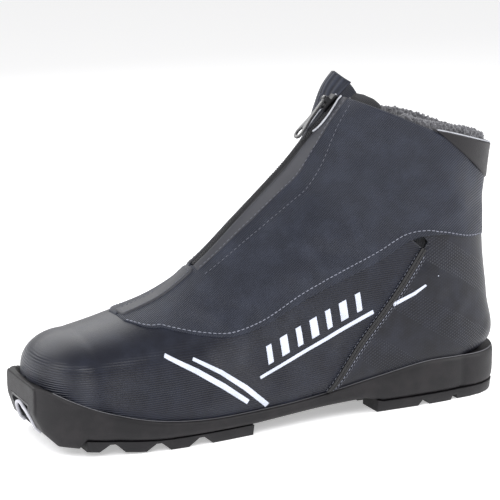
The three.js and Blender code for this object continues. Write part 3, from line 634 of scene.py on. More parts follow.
def cover_side(side):
    """The cover's panel. Its top rows dip behind the heel tab, and on the inner side they rise to the
    higher front corner."""
    us = np.linspace(COVER_START - 0.002, RIM, 190)
    low = np.where(us < ZIP_LOW, 0.5, ZIP_HALF + 0.3) / OUTER(us)
    high = np.where(us >= COVER_BACK, np.pi, cover_edge(np.maximum(us, COVER_START)))
    f = side * mix(low[:, None], high[:, None], np.linspace(0, 1, 100)[None])
    u = np.repeat(us[:, None], 100, 1)
    bend_by = np.abs(f) / DEG
    u = u - RIM_DIP * smooth((bend_by - 128) / 22) * np.clip((u - 0.9) / 0.1, 0, 1)
    if side < 0:
        u = u + (RIM_INNER - RIM) * (1 - smooth((bend_by - 50) / 35)) * np.clip((u - 0.86) / 0.14, 0, 1)
    name = "outer" if side > 0 else "inner"
    piece = sewn(f"cover_cloth_{name}", u, f, SOFTSHELL, side, height=cover_height(u, f), thick=COVER_THICK,
                 cut="first last left right", roll=0.0012, push=stand_away(u, f))
    bend(piece, side, "softshell", f"cover_{name}_side", f"cover_flap_{name}")


def on_cover(u, f, lift):
    """Points and normals that lie on the cover."""
    u, f = np.broadcast_arrays(u, f)
    points, n = skin(u, f, cover_height(u, f) + lift)
    return points + stand_away(u, f), n


EDGE_TO_STITCH = 2.2
for side in (1, -1):
    cover_side(side)
edge_us = np.concatenate([np.linspace(COVER_START + 0.004, 0.34, 30)[:-1],
                          np.linspace(0.34, COVER_BACK - 0.008, 260)])
for side, name in ((1, "outer"), (-1, "inner")):
    route, n = on_cover(edge_us, side * (cover_edge(edge_us) - EDGE_TO_STITCH / OUTER(edge_us)), 0.0001)
    stitches(f"cover_edge_stitch_{name}", route, n, THREAD, pitch=0.0029)

# ---- Zip patch ---------------------------------------------------------------------------------
# A strip of smooth film covers the joint of the cover's two sides below the zip. It is glued on and
# sewn down with a box of stitches.
DARK_THREAD = film("dark_thread", (0.10, 0.105, 0.13), 0.55, 0.0003)
patch_us = np.linspace(SPLIT, ZIP_LOW - 0.004, 60)


def patch_half(u):
    """Half angle of the patch, with round ends."""
    ends = np.minimum((u - patch_us[0]) / 0.012, (patch_us[-1] - u) / 0.012)
    return (PATCH_HALF - 2.6 - 1.5 * (1 - np.sqrt(1 - (1 - np.clip(ends, 0, 1)) ** 2))) / OUTER(u)


u = np.repeat(patch_us[:, None], 21, 1)
f = patch_half(patch_us)[:, None] * np.linspace(-1, 1, 21)[None]
SMOOTH = film("smooth_film", (0.024, 0.025, 0.033), 0.40)
own(sewn("patch", u, f, SMOOTH, height=0.0016, thick=0.0012, cut="first last left right", roll=0.0008),
    "boot", "smooth_trim", "zip_patch")
side_u = np.linspace(patch_us[0] + 0.007, patch_us[-1] - 0.007, 60)
ring_u = np.concatenate([side_u, np.full(12, side_u[-1]), side_u[::-1], np.full(12, side_u[0])])
ring_f = np.concatenate([np.full(60, 1.0), np.linspace(1, -1, 12), np.full(60, -1.0), np.linspace(-1, 1, 12)])
route, n = skin(ring_u, ring_f * (PATCH_HALF - 4.4) / OUTER(ring_u), 0.00165)
stitches("patch_stitch", route, n, DARK_THREAD, pitch=0.0028, radius=0.00024)

# ---- Zip ---------------------------------------------------------------------------------------
# A coil zip on woven tape, the coil dyed like the tape. Each half is sewn under a smooth placket on its side of
# the cover and would open with it, but is not bent open here; a light piping frames the slider's garage at the
# top.
TAPE = ribbed("zip_tape", (0.022, 0.022, 0.026), (0.008, 0.008, 0.010), (0.03, 0.03, 0.035),
              lambda g: (g.axes(g.cloth)[0]).wave(0.0009), 0.6)
PIPING = film("piping", (0.42, 0.43, 0.47), 0.4)
TOOTH_PITCH = 0.0013


def tube(name, route, normals, radius, material, sides=10):
    """A round cord along a route: rings of the radius, closed by shrinking the last rings to a point."""
    run = run_along(route)
    near = np.clip(np.minimum(run, run[-1] - run) / radius, 0, 1)
    r = radius * np.sqrt(np.maximum(1 - (1 - near) ** 2, 1e-6))
    along = unit(np.gradient(route, axis=0))
    up = unit(normals - along * (normals * along).sum(1, keepdims=True))
    across = np.cross(up, along)
    a = np.linspace(0, 2 * np.pi, sides + 1)
    points = (route[:, None] + (r[:, None] * np.cos(a))[..., None] * across[:, None]
              + (r[:, None] * np.sin(a))[..., None] * up[:, None])
    uv = np.stack(np.broadcast_arrays(run[:, None], a[None] * radius), -1).reshape(-1, 2)
    return weld(name, points.reshape(-1, 3), cells(len(route), sides + 1), material, uv)


def dense_route(u, f, lift, count=8):
    """A skin route with its ends refined so that a tube can close there."""
    s = np.linspace(0, 1, len(u))
    t = np.concatenate([np.linspace(0, 0.008, count)[:-1], np.linspace(0.008, 0.992, len(u) * 2),
                        np.linspace(0.992, 1, count)[1:]])
    return skin(np.interp(t, s, u), np.interp(t, s, f), lift)


zip_us = np.linspace(ZIP_LOW + 0.003, RIM - 0.004, 240)
tooth, tooth_faces = capsule(0.0023, 0.00042, 0.0002)
tooth, tooth_faces = tooth[:, [1, 0, 2]], tooth_faces[:, ::-1]
for side, name in ((1, "outer"), (-1, "inner")):
    tape = panel(f"zip_tape_{name}", zip_us, lambda u: 0.1 / OUTER(u), lambda u: 3.4 / OUTER(u), 8, TAPE, side,
                 lift=-0.0002, thick=0.0007, cut="left", roll=0.0003)
    route, n = skin(zip_us, side * 1.05 / OUTER(zip_us), 0.0001)
    frames = along_route(route, n, TOOTH_PITCH, 0.5 if side > 0 else 1.0)
    chain = join(tape, weld("coil", *repeat(tooth, tooth_faces, frames), TAPE))
    chain.name = f"zip_half_{name}"
    bend(chain, side, "zip_tape", f"zip_chain_{name}")
    placket_us = np.linspace(ZIP_LOW - 0.002, RIM - 0.002, 120)
    placket = panel(f"placket_{name}", placket_us, lambda u: (ZIP_HALF + 0.2) / OUTER(u),
                    lambda u: (ZIP_HALF + 5.8) / OUTER(u), 12, SMOOTH, side, lift=0.0013, thick=0.0011,
                    cut="first last left right", roll=0.0008)
    bend(placket, side, "smooth_trim")
    us = np.linspace(ZIP_LOW + 0.004, RIM - 0.01, 200)
    thread, thread_faces = capsule(0.0021, 0.00022, 0.00018)
    rows = (skin(us, side * (ZIP_HALF + 4.9) / OUTER(us), 0.00135),
            on_cover(us, side * (ZIP_HALF + 10.5) / OUTER(us), 0.00008))
    for row, (route, n) in enumerate(rows):
        points, quads = repeat(thread, thread_faces, along_route(route, n, 0.0031))
        bend(weld(f"placket_stitch_{row}_{name}", points, quads, DARK_THREAD), side, "seam_trim")
    garage_u = np.linspace(0.855, RIM - 0.004, 60)
    t = np.linspace(0, 1, 60)
    garage_f = side * (ZIP_HALF + 0.3 + 2.2 * np.sin(np.pi * np.minimum(t * 1.15, 1)) ** 0.7) / OUTER(garage_u)
    route, n = dense_route(garage_u, garage_f, 0.0019)
    bend(tube(f"piping_{name}", route, n, 0.00055, PIPING), side, "piping", f"zip_piping_{name}")

# ---- Slider and pull ---------------------------------------------------------------------------
# The slider is a black die-cast body with two cheeks and a pin; the moulded pull hangs on the pin, a
# narrow neck that widens to an open ring.
SLIDER_LONG, PIN_UP, PULL_LONG, PULL_RING, PULL_DROOP = 11.0, 6.835, 29.0, 4.0, 5 * DEG
METAL = film("black_metal", (0.018, 0.018, 0.020), 0.28, 0.0004, Metallic=0.6)
GLOSS = film("gloss_plastic", (0.010, 0.010, 0.012), 0.12, 0.0006, Coat_Weight=0.5)


def soften(node, name, material, width, body, slot_name):
    """A copy of a CAD node with merged corners, flat faces made whole and its edges rounded."""
    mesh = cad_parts[node].data.copy()
    mesh.name = name
    b = bmesh.new()
    b.from_mesh(mesh)
    bmesh.ops.remove_doubles(b, verts=b.verts, dist=1e-6)
    bmesh.ops.dissolve_limit(b, angle_limit=1.5 * DEG, verts=b.verts, edges=b.edges)
    b.to_mesh(mesh)
    b.free()
    mesh.materials.clear()
    mesh.materials.append(material)
    piece = bpy.data.objects.new(name, mesh)
    bpy.context.scene.collection.objects.link(piece)
    bevel = piece.modifiers.new("rounding", "BEVEL")
    bevel.width, bevel.segments, bevel.limit_method, bevel.angle_limit = width, 2, "ANGLE", 32 * DEG
    mesh.polygons.foreach_set("use_smooth", np.ones(len(mesh.polygons), bool))
    bevel.harden_normals = True
    return own(piece, body, slot_name, node)


slider_at = zip_top + DOWN * (SLIDER_LONG / 2 + 3) * MM


def in_zip_frame(points, pivot, droop):
    """Millimetres along the zip, across it and out from it, turned by the droop about the pivot."""
    x, y, z = points[..., 0], points[..., 1], points[..., 2]
    x, z = x * math.cos(droop) + z * math.sin(droop), z * math.cos(droop) - x * math.sin(droop)
    return pivot + MM * (x[..., None] * DOWN + y[..., None] * np.array([0, 1, 0]) + z[..., None] * OUT)


soften("zip_slider", "slider_body", METAL, 0.00035, "slider", "zip_metal")

# the pull is a closed band between its outline and its hole; shape is half its thickness across it
outline = np.array([[0.4, 1.3], [3, 1.35], [8, 1.4], [13, 1.9], [17, 2.7], [20.5, 3.6], [23.5, 4.0],
                    [25.5, 4.0], [27.3, 3.3], [28.5, 2.1], [28.95, 0.8]])
width_at = curve(outline[:, 0], outline[:, 1])
xs = np.concatenate([np.linspace(0.4, 20, 30), 20 + 8.95 * np.sin(np.linspace(0, 1, 24)[1:] * np.pi / 2)])
rim_x = np.concatenate([xs, [29.0], xs[::-1], [0.3]])
rim_y = np.concatenate([width_at(xs), [0.0], -width_at(xs[::-1]), [0.0]])
ring_x = PULL_LONG - PULL_RING - 0.3
angle = np.arctan2(rim_y, rim_x - ring_x)
hole_x = ring_x + 2.3 * np.cos(angle) - 0.5 * (np.cos(angle) < 0) * np.cos(angle) ** 2
hole_y = 2.0 * np.sin(angle)
t = (1 - np.cos(np.linspace(0, np.pi, 17))) / 2
shape = 0.75 * np.maximum(1 - np.abs(2 * t - 1) ** 5, 0) ** 0.3
band_x = mix(hole_x[:, None], rim_x[:, None], t[None])
band_y = mix(hole_y[:, None], rim_y[:, None], t[None])
grid_x = np.concatenate([band_x, band_x[:, -2::-1]], 1)
grid_y = np.concatenate([band_y, band_y[:, -2::-1]], 1)
grid_z = np.broadcast_to(np.concatenate([shape, -shape[-2::-1]]), grid_x.shape)
points = np.stack([grid_x, grid_y, grid_z], -1)
points = np.concatenate([points, points[:1]])
pivot = slider_at + OUT * PIN_UP * MM
points = in_zip_frame(points, pivot, PULL_DROOP)
pull = weld("pull_body", points.reshape(-1, 3), cells(*points.shape[:2]), GLOSS)
# the eye round the pin: a ring whose section is wide and squarish
a, b = np.meshgrid(np.linspace(0, 2 * np.pi, 33), np.linspace(0, 2 * np.pi, 17), indexing="ij")
r = 1.45 + 0.42 * np.cos(b)
barrel = np.stack([r * np.cos(a), 1.45 * np.sign(np.sin(b)) * np.abs(np.sin(b)) ** 0.4, r * np.sin(a)], -1)
barrel = in_zip_frame(barrel, pivot, PULL_DROOP)
pull = join(pull, weld("eye", barrel.reshape(-1, 3), cells(33, 17), GLOSS))
own(pull, "pull", "pull_plastic", "zip_pull")
soften("zip_stop", "stop", METAL, 0.0002, "boot", "zip_metal")

# ---- Heel welt ---------------------------------------------------------------------------------
# Where the vamp meets the heel panel two black cords are let into the seam. Light stitches run behind
# them, and dark ones before them and farther back.
WELT = film("welt", (0.009, 0.0085, 0.010), 0.42, 0.0005)


PLACES, ANGLES = np.meshgrid(np.linspace(0.04, 1.0, 241), np.linspace(2, 178, 177) * DEG, indexing="ij")
TABLE = on_last(PLACES, ANGLES)


def place(x, z):
    """The place and angle on the outer side whose side view is (x, z) in millimetres: the nearest of a
    table of points, then five Newton steps."""
    x, z = np.atleast_1d(np.asarray(x, float)), np.atleast_1d(np.asarray(z, float))
    far = (TABLE[None, ..., 0] - x[:, None, None]) ** 2 + (TABLE[None, ..., 2] - z[:, None, None]) ** 2
    k = far.reshape(len(x), -1).argmin(1)
    u, f = PLACES.ravel()[k], ANGLES.ravel()[k]
    for _ in range(5):
        p, pu, pf = on_last(u, f), on_last(u + 1e-4, f), on_last(u, f + 1e-4)
        a, b = (pu - p)[:, [0, 2]] / 1e-4, (pf - p)[:, [0, 2]] / 1e-4
        d = np.stack([x, z], -1) - p[:, [0, 2]]
        det = a[:, 0] * b[:, 1] - a[:, 1] * b[:, 0]
        det = np.where(np.abs(det) < 1e-3, 1e-3, det)
        u = u + np.clip((d[:, 0] * b[:, 1] - d[:, 1] * b[:, 0]) / det, -0.02, 0.02)
        f = f + np.clip((a[:, 0] * d[:, 1] - a[:, 1] * d[:, 0]) / det, -0.1, 0.1)
    return u, f


def beside_seam(shift, low, high, count, side):
    """A route beside the heel seam, at a distance towards the heel in the side view, on either side."""
    z = np.concatenate([low + np.linspace(0, 0.6, 6)[:-1], np.linspace(low + 0.6, high - 0.6, count),
                        high - np.linspace(0.6, 0, 6)[1:]])
    x = SEAM_LINE(z)
    dx, dz = np.gradient(x, z), 1.0
    size = np.hypot(dx, dz)
    u, f = place(x - shift * dz / size, z + shift * dx / size)
    relief = np.maximum(vamp_relief(on_last(u, f)), 0)
    return skin(u, side * f, 0.0005 + relief)


for side, name in ((1, "outer"), (-1, "inner")):
    cords = [tube(f"welt_{k}", *beside_seam(shift, 17.0, 96.0, 150, side), 0.0009, WELT)
             for k, shift in enumerate((-0.85, 0.85))]
    welt = join(*cords)
    welt.name = f"welt_{name}"
    own(welt, "boot", "seam_trim", f"seam_tape_{name}")
    for row, (shift, finish, radius) in enumerate(((2.7, THREAD, 0.0003), (-2.3, DARK_THREAD, 0.00022),
                                                   (3.9, DARK_THREAD, 0.00022))):
        route, n = beside_seam(shift, 17.0, 94.0, 150, side)
        stitches(f"welt_stitch_{row}_{name}", route, n, finish, pitch=0.0027, radius=radius, length=0.0019)

# ---- Printed marks -----------------------------------------------------------------------------
# Two slanting stripes, a thin line that runs on over the heel, and a row of plain slanted bars, all
# printed in thick white ink.
INK = film("white_ink", (0.62, 0.66, 0.78), 0.42, 0.0005)


def printed(name, x, z, lift):
    """A thin layer of ink over the grid of points (x, z) of the side view."""
    u, f = place(x.ravel(), z.ravel())
    u, f = u.reshape(x.shape), f.reshape(x.shape)
    piece = sewn(name, u, f, INK, height=lift + vamp_relief(on_last(u, f)), thick=0.0003)
    own(piece, "boot", "coated_upper")


def print_strip(name, xs, zs, half, lift=0.00025, count=70):
    """A strip of ink round a line of the side view, half wide on each side."""
    t = np.linspace(0, 1, count)
    x, z, w = (np.interp(t, np.linspace(0, 1, len(v)), v) for v in (xs, zs, half))
    dx, dz = np.gradient(x), np.gradient(z)
    size = np.hypot(dx, dz)
    across = np.linspace(-1, 1, 7)
    printed(name, x[:, None] - (dz / size * w)[:, None] * across,
            z[:, None] + (dx / size * w)[:, None] * across, lift)


def bar(name, foot, along, lean, wide, tall, lift=0.00025):
    """A slanted bar of ink: foot + across its width along one direction + up its height along another."""
    a, b = np.meshgrid(np.linspace(-1, 1, 7), np.linspace(0, 1, 13), indexing="ij")
    printed(name, *(foot[k] + a * wide / 2 * along[k] + b * tall * lean[k] for k in (0, 1)), lift)


print_strip("stripe_front", [223, 206, 190, 173.5], [54, 44.2, 33.6, 21.5], [1.1, 1.5, 1.6, 1.4])
print_strip("stripe_back", [207.5, 191, 175, 160], [51, 41.5, 30, 17], [0.9, 1.3, 1.6, 1.5])
print_strip("thin_line", [165, 127, 89], [34, 48, 62], [0.9, 1.05, 1.2], count=120)
print_strip("thin_line_heel", [76, 62, 46], [64.8, 70, 79], [1.2, 1.0, 0.25], lift=0.0006)
line_dir = np.array([-76, 28]) / math.hypot(76, 28)
line_up = np.array([28, 76]) / math.hypot(76, 28)
for k in range(7):
    foot = np.array([160.0, 36.0]) + line_dir * (4 + 10.6 * k) + line_up * 4.2
    bar(f"bar_{k + 1}", foot, line_dir, line_up + 0.22 * line_dir, 5.2 if k % 2 else 3.6, 10.5)

# ---- Heel tab ----------------------------------------------------------------------------------
# A half-moon of smooth film behind the collar, by which the boot is pulled on. Its upper edge is
# bound with a thin light cord.
TAB_START = 84 * DEG
TRIM = film("smooth_trim", (0.0105, 0.0095, 0.0115), 0.36, Specular_IOR_Level=0.3)
tab_f = np.linspace(TAB_START, 2 * np.pi - TAB_START, 120)
t = np.linspace(-1, 1, 120)
tab_low = 1.002 - 0.034 * (1 - np.abs(t) ** 3) ** 1.1
tab_high = 1.003 + 0.027 * (1 - t**2) ** 0.9
f = np.repeat(tab_f[:, None], 26, 1)
u = mix(tab_low[:, None], tab_high[:, None], np.linspace(0, 1, 26)[None])
own(sewn("tab", u, f, TRIM, -1, height=0.0016, thick=0.0016, cut="left right", roll=0.001), "boot",
    "smooth_trim", "heel_tab")
route, n = skin(tab_high + 0.001, tab_f, 0.0008)
own(tube("tab_edging", route, n, 0.0004, PIPING), "boot", "piping")

# ---- Collar ------------------------------------------------------------------------------------
# The boot is lined at the ankle with curly grey fleece that stands above the cover's edge and folds
# over inside.
fleece_graph = Finish("fleece", Sheen_Weight=0.35, Sheen_Roughness=0.6)
curl, clump = fleece_graph.noise(0.0016, 4, rough=0.7), fleece_graph.noise(0.006, 3)
fleece_graph.set(
    Base_Color=fleece_graph.blend(curl.between(0.3, 0.7) * 0.6 + clump * 0.4, (0.035, 0.035, 0.042),
                                  (0.20, 0.20, 0.22)),
    Roughness=0.95, Normal=fleece_graph.bump(curl, 0.0012))
FLEECE = fleece_graph.material
PILE_OUT, PILE_IN, PILE_LOW = 2.8, 7.2, 0.905


def hinge_angle(side, us):
    """Angle at each place of the surface's cut by the upright plane through the hinge line."""
    low, across = HINGES[side]
    a, b = np.zeros_like(us), np.full_like(us, 110 * DEG)
    for _ in range(40):
        middle = (a + b) / 2
        beyond = (skin(us, side * middle)[0] - low) @ across > 0
        a, b = np.where(beyond, middle, a), np.where(beyond, b, middle)
    return curve(us, a)


fold_angle = {side: hinge_angle(side, np.linspace(ZIP_LOW, rim, 15))(np.array([RIM]))[0]
              for side, rim in ((1, RIM), (-1, RIM_INNER))}
start_f, end_f = fold_angle[1] + 1.5 * DEG, 2 * np.pi - fold_angle[-1] - 1.5 * DEG
f = np.linspace(start_f, end_f, 420)
from_end = np.minimum(f - start_f, end_f - f)
top = 1.012 + 0.030 * smooth((np.pi - np.abs(f - np.pi) - 62 * DEG) / (60 * DEG))
end_size = np.sqrt(np.maximum(1 - (1 - np.clip(from_end / (4 * DEG), 0, 1)) ** 2, 1e-4))
# the pile's section is a squarish ring between its two depths, and shrinks to nothing at both ends
b = np.linspace(0, 2 * np.pi, 61)
rise = np.sign(np.sin(b)) * np.abs(np.sin(b)) ** 0.55
wide = np.sign(np.cos(b)) * np.abs(np.cos(b)) ** 0.6
u = mix(PILE_LOW, top[:, None], 0.5 + 0.5 * rise[None] * end_size[:, None])
depth = mix(PILE_OUT, PILE_IN, 0.5 + 0.5 * wide[None] * end_size[:, None])
points = on_last(u, np.repeat(f[:, None], 61, 1), depth)
rng = np.random.default_rng(5)
curls = np.zeros(u.shape)
for _ in range(26):
    k = rng.normal(size=3)
    k *= 2 * np.pi / rng.uniform(2.2, 6.0) / np.linalg.norm(k)
    curls += np.abs(np.sin(points @ k + rng.uniform(0, 6.28)))
curls = (curls / 26 - 0.62) * 9
normal = np.cross(np.gradient(points, axis=0), np.gradient(points, axis=1))
normal /= np.maximum(np.linalg.norm(normal, axis=-1, keepdims=True), 1e-9)
centre = points.mean(1, keepdims=True)
normal *= np.sign(((points - centre) * normal).sum(-1, keepdims=True))
curls *= np.clip(end_size, 0, 1)[:, None] ** 2
points = points[:, :-1] + normal[:, :-1] * curls[:, :-1, None] * 0.8
points = np.concatenate([points, points[:, :1]], 1) * MM + MOVE
collar = weld("collar_pile", points.reshape(-1, 3), cells(420, 61), FLEECE)
collar_mesh = bmesh.new()
collar_mesh.from_mesh(collar.data)
bmesh.ops.holes_fill(collar_mesh, edges=[e for e in collar_mesh.edges if e.is_boundary], sides=0)
bmesh.ops.recalc_face_normals(collar_mesh, faces=collar_mesh.faces)
collar_mesh.to_mesh(collar.data)
collar_mesh.free()
own(collar, "boot", "fleece", "collar_fleece")
# loose strands: hooks of wool that lean anyhow
COUNT = 1500
hair_f = rng.uniform(start_f + 3 * DEG, end_f - 3 * DEG, COUNT)
hair_top = np.interp(hair_f, f, top)
side_b = rng.uniform(0.05, 0.95, COUNT) * np.pi
hair_u = mix(PILE_LOW, hair_top, 0.5 + 0.5 * np.sin(side_b) ** 0.55) - 0.002
hair_depth = mix(PILE_OUT, PILE_IN, 0.5 + 0.5 * np.sign(np.cos(side_b)) * np.abs(np.cos(side_b)) ** 0.6)
root = on_last(hair_u, hair_f, hair_depth) * MM + MOVE
up = unit(np.array([0.15, 0, 1.0]) + rng.normal(size=(COUNT, 3)) * 0.55)
turn = unit(np.cross(up, rng.normal(size=(COUNT, 3))))
third = np.cross(up, turn)
length = rng.uniform(0.0012, 0.0030, COUNT)
t = np.linspace(0, 1, 5)
hook = np.stack([0.35 * np.sin(t * 2.6), 0 * t, t - 0.25 * t**2], -1)
ring = np.arange(3) * 2 * np.pi / 3
r = 0.00009 * np.array([1, 1, 0.9, 0.7, 0.02])
hair = (root[:, None, None] + length[:, None, None, None] * (
    hook[None, :, None, :1] * turn[:, None, None] + hook[None, :, None, 2:] * up[:, None, None])
    + r[None, :, None, None] * (np.cos(ring)[None, None, :, None] * turn[:, None, None]
                                + np.sin(ring)[None, None, :, None] * third[:, None, None]))
k = np.arange(15).reshape(5, 3)
after = np.roll(k, -1, 1)
quads = np.stack([k[:-1], after[:-1], after[1:], k[1:]], -1).reshape(-1, 4)
quads = (quads[None] + 15 * np.arange(COUNT)[:, None, None]).reshape(-1, 4)
WOOL = film("wool_ends", (0.30, 0.30, 0.33), 0.9)
own(weld("collar_strands", hair.reshape(-1, 3), quads, WOOL), "boot", "fleece")

# ---- Inside ------------------------------------------------------------------------------------
# Under the cover: a padded knit lining, a tongue, lace bands with steel loops and round laces, and a
# foam footbed over the board. The stiff toe and heel pieces and the shank stay hidden between layers.
knit_graph = Finish("knit_lining", Sheen_Weight=0.2)
x, y, z = knit_graph.axes(knit_graph.cloth)
loops = x.wave(0.0016) * y.wave(0.0016)
knit_graph.set(Base_Color=knit_graph.blend(loops * 0.7 + knit_graph.noise(0.004) * 0.3, (0.030, 0.031, 0.036),
                                           (0.105, 0.108, 0.120)), Roughness=0.9,
               Normal=knit_graph.bump(loops, 0.0003))
KNIT = knit_graph.material
LINING_AT, LINING, STAY_AT, EYESTAY, TONGUE_AT, TONGUE = 4.6, 2.8, 8.1, 1.4, 10.5, 3.4
FOOTBED_AT, FOOTBED, LAST_EDGE, SLIT, UNDER_HEEL = 9.4, 3.0, 139 * DEG, 40 * DEG, 0.71


def held(angle):
    """The same angle at every place."""
    return lambda u: 0 * u + angle


# the toe, the sides beside the slit, and the heel's cup: (first and last place, rows, angles, columns)
LINING_PARTS = [(0.03, 0.36, 50, 0, LAST_EDGE, 50), (0.36, 0.90, 90, SLIT, LAST_EDGE, 44),
                (UNDER_HEEL, 0.90, 40, LAST_EDGE, np.pi, 20)]
lining = join(*[panel("lining", np.linspace(start, end, rows), held(low), held(high), columns, KNIT, side,
                      depth=LINING_AT, thick=LINING * MM)
                for side in (1, -1) for start, end, rows, low, high, columns in LINING_PARTS])
lining.name = "lining_knit"
own(lining, "boot", "fleece", "inner_lining")

FABRIC = ribbed("tongue_cloth", (0.030, 0.031, 0.037), (0.010, 0.010, 0.013), (0.045, 0.046, 0.055),
                lambda g: g.axes(g.cloth)[0].wave(0.0014) * g.axes(g.cloth)[1].wave(0.0014), 0.7,
                Sheen_Weight=0.1)
us = np.linspace(0.34, 1.03, 130)
t = np.linspace(-1, 1, 49)
ends = np.clip(np.minimum(us - us[0], us[-1] - us) / 0.02, 0, 1)
f = np.sqrt(1 - (1 - ends) ** 2)[:, None] * (35 * DEG) * t[None]
u = np.repeat(us[:, None], 49, 1)
pad = 0.0012 * (1 - np.abs(t) ** 3)[None] * (0.8 + 0.2 * np.cos(us * 2 * np.pi / 0.06))[:, None] - 0.0006
tongue = sewn("tongue_pad", u, f, FABRIC, height=pad, depth=TONGUE_AT, thick=TONGUE * MM,
              cut="first last left right", roll=0.0014)
own(tongue, "boot", "tongue_fabric", "tongue")

for side, name in ((1, "outer"), (-1, "inner")):
    own(panel(f"lace_band_{name}", np.linspace(0.42, 0.775, 80), held(21 * DEG), held(39 * DEG), 18, TRIM,
              side, depth=STAY_AT, thick=EYESTAY * MM, cut="first last left right", roll=0.0006),
        "boot", "smooth_trim", f"eyestay_{name}")

LACE_ROWS, LOOP_F, LOOP_R, LOOP_WIRE, LACE_D = (0.47, 0.55, 0.62, 0.69), 27 * DEG, 1.8, 0.35, 1.4
STEEL = film("steel", (0.45, 0.46, 0.48), 0.22, 0.0004, Metallic=1.0)
LACE = ribbed("lace_braid", (0.020, 0.020, 0.024), (0.006, 0.006, 0.008), (0.03, 0.03, 0.035),
              lambda g: (g.axes(g.cloth)[0] + g.axes(g.cloth)[1]).wave(0.0008)
              * (g.axes(g.cloth)[0] - g.axes(g.cloth)[1]).wave(0.0008), 0.7)


def loop_centre(u, side):
    """Middle of a loop that stands on the lace band."""
    return skin(np.array([u]), np.array([side * LOOP_F]), (LOOP_R + LOOP_WIRE + 0.3) * MM, STAY_AT)[0][0]


def through(points, count):
    """A smooth route through points: four neighbours weighted by the uniform cubic of Catmull and Rom."""
    p = np.concatenate([2 * points[:1] - points[1:2], points, 2 * points[-1:] - points[-2:-1]])
    t = np.linspace(0, len(points) - 1 - 1e-9, count)
    k, s = t.astype(int), (t % 1)[:, None]
    return 0.5 * (2 * p[k + 1] + (p[k + 2] - p[k]) * s + (2 * p[k] - 5 * p[k + 1] + 4 * p[k + 2] - p[k + 3]) * s**2
                  + (3 * p[k + 1] - p[k] - 3 * p[k + 2] + p[k + 3]) * s**3)


for name, first, depth in (("over", 1, 4.0), ("under", -1, 6.8)):
    knots = []
    for i, row in enumerate(LACE_ROWS):
        knots.append(loop_centre(row, first * (-1 if i % 2 else 1)))
        if i < 3:
            knots.append(on_last((row + LACE_ROWS[i + 1]) / 2, 0.0, depth) * MM + MOVE)
    route = through(np.array(knots), 160)
    along = np.gradient(route, axis=0)
    own(tube(f"lace_cord_{name}", route, np.cross(along, [0, 1, 0.2]), LACE_D / 2 * MM, LACE, sides=12),
        "boot", "lace_cord", f"lace_{name}")
    for i, row in enumerate(LACE_ROWS):
        side = first * (-1 if i % 2 else 1)
        which = f"{'outer' if side > 0 else 'inner'}_{i + 1}"
        axis = unit(along[min(i * 53, 159)])
        one = unit(np.cross(axis, [0, 0, 1.0]))
        a, b = np.linspace(0, 2 * np.pi, 41), np.linspace(0, 2 * np.pi, 13)
        away = np.cos(a)[:, None] * one + np.sin(a)[:, None] * np.cross(axis, one)
        middle = loop_centre(row, side) + LOOP_R * MM * away
        points = middle[:, None] + LOOP_WIRE * MM * (np.cos(b)[None, :, None] * away[:, None]
                                                     + np.sin(b)[None, :, None] * axis)
        own(weld(f"loop_{which}", points.reshape(-1, 3), cells(41, 13, turned=True), STEEL), "boot", "steel",
            f"lace_loop_{which}")

FOAM = ribbed("footbed_foam", (0.024, 0.026, 0.032), (0.010, 0.011, 0.014), (0.034, 0.036, 0.044),
              lambda g: g.noise(0.0012, 3), 0.85)
bed_us = np.linspace(0.12, 0.70, 110)
t = np.linspace(-1, 1, 41)
ends = np.clip(np.minimum(bed_us - bed_us[0], bed_us[-1] - bed_us) / 0.04, 0, 1)
f = np.pi + np.sqrt(1 - (1 - ends) ** 2)[:, None] * (33 * DEG) * t[None]
u = np.repeat(bed_us[:, None], 41, 1)
bed = sewn("footbed_pad", u, f, FOAM, -1, depth=FOOTBED_AT, thick=FOOTBED * MM)
own(bed, "boot", "footbed_foam", "footbed")

BOARD = film("pressed_board", (0.30, 0.23, 0.14), 0.8, 0.0006)
STIFF = film("stiffener_sheet", (0.34, 0.29, 0.20), 0.7, 0.0008)
for node, material in (("toe_puff", STIFF), ("heel_counter", STIFF), ("insole_board", BOARD),
                       ("shank", STEEL)):
    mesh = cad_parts[node].data
    mesh.materials.clear()
    mesh.materials.append(material)

# ---- Sole --------------------------------------------------------------------------------------
# A moulded rubber sole cups the upper. Its front holds a steel bar across a notch with a dark insert
# and a light rim; lugged treads under the forefoot and heel carry two guide grooves.
rubber_graph = Finish("rubber", Specular_IOR_Level=0.3)
x, y, z = rubber_graph.axes()
grain, scuff = rubber_graph.noise(0.0006, 3), rubber_graph.noise(0.010, 5)
rubber_graph.set(
    Base_Color=rubber_graph.blend(scuff.between(0.35, 0.8), (0.008, 0.0075, 0.009), (0.018, 0.016, 0.018)),
    Roughness=scuff * 0.25 + 0.40, Normal=rubber_graph.bump(grain, 0.00012))
RUBBER = rubber_graph.material
INSERT = film("dark_insert", (0.012, 0.012, 0.014), 0.3)
LIP, TREAD, SOLE_FRONT, STEP_X, NOTCH_HALF, HOUSING = 2.8, 6.3, 292.0, 268.0, 13.0, 1.4


def line(xs, ys):
    """Straight pieces through points, level beyond the ends."""
    return lambda x: np.interp(x, xs, ys)


lip_z = curve([-12, 20, 50, 84, 123, 170, 200, 230, 260, 277, 287, 293],
              [27, 26.5, 27, 22, 16, 14, 14.5, 18, 26, 33, 37.5, 38])
spring = line([-12, 225, 245, 265, 280, 300], [0, 0, 1.4, 3, 4.2, 6])
base_z = line([-12, 80, 92, 130, 165, 300], [0, 0, 3, 1.6, 0, 0])
ear_z = line([-12, STEP_X, STEP_X + 3, BAR_X - 2, BAR_X + 4.5, SOLE_FRONT], [0, 0, -5, -5, 1, 11])
notch_z = line([BAR_X - 10, BAR_X - 8, BAR_X - 5, BAR_X + 1, BAR_X + 21], [15, 15, 19.5, 22.5, 29])


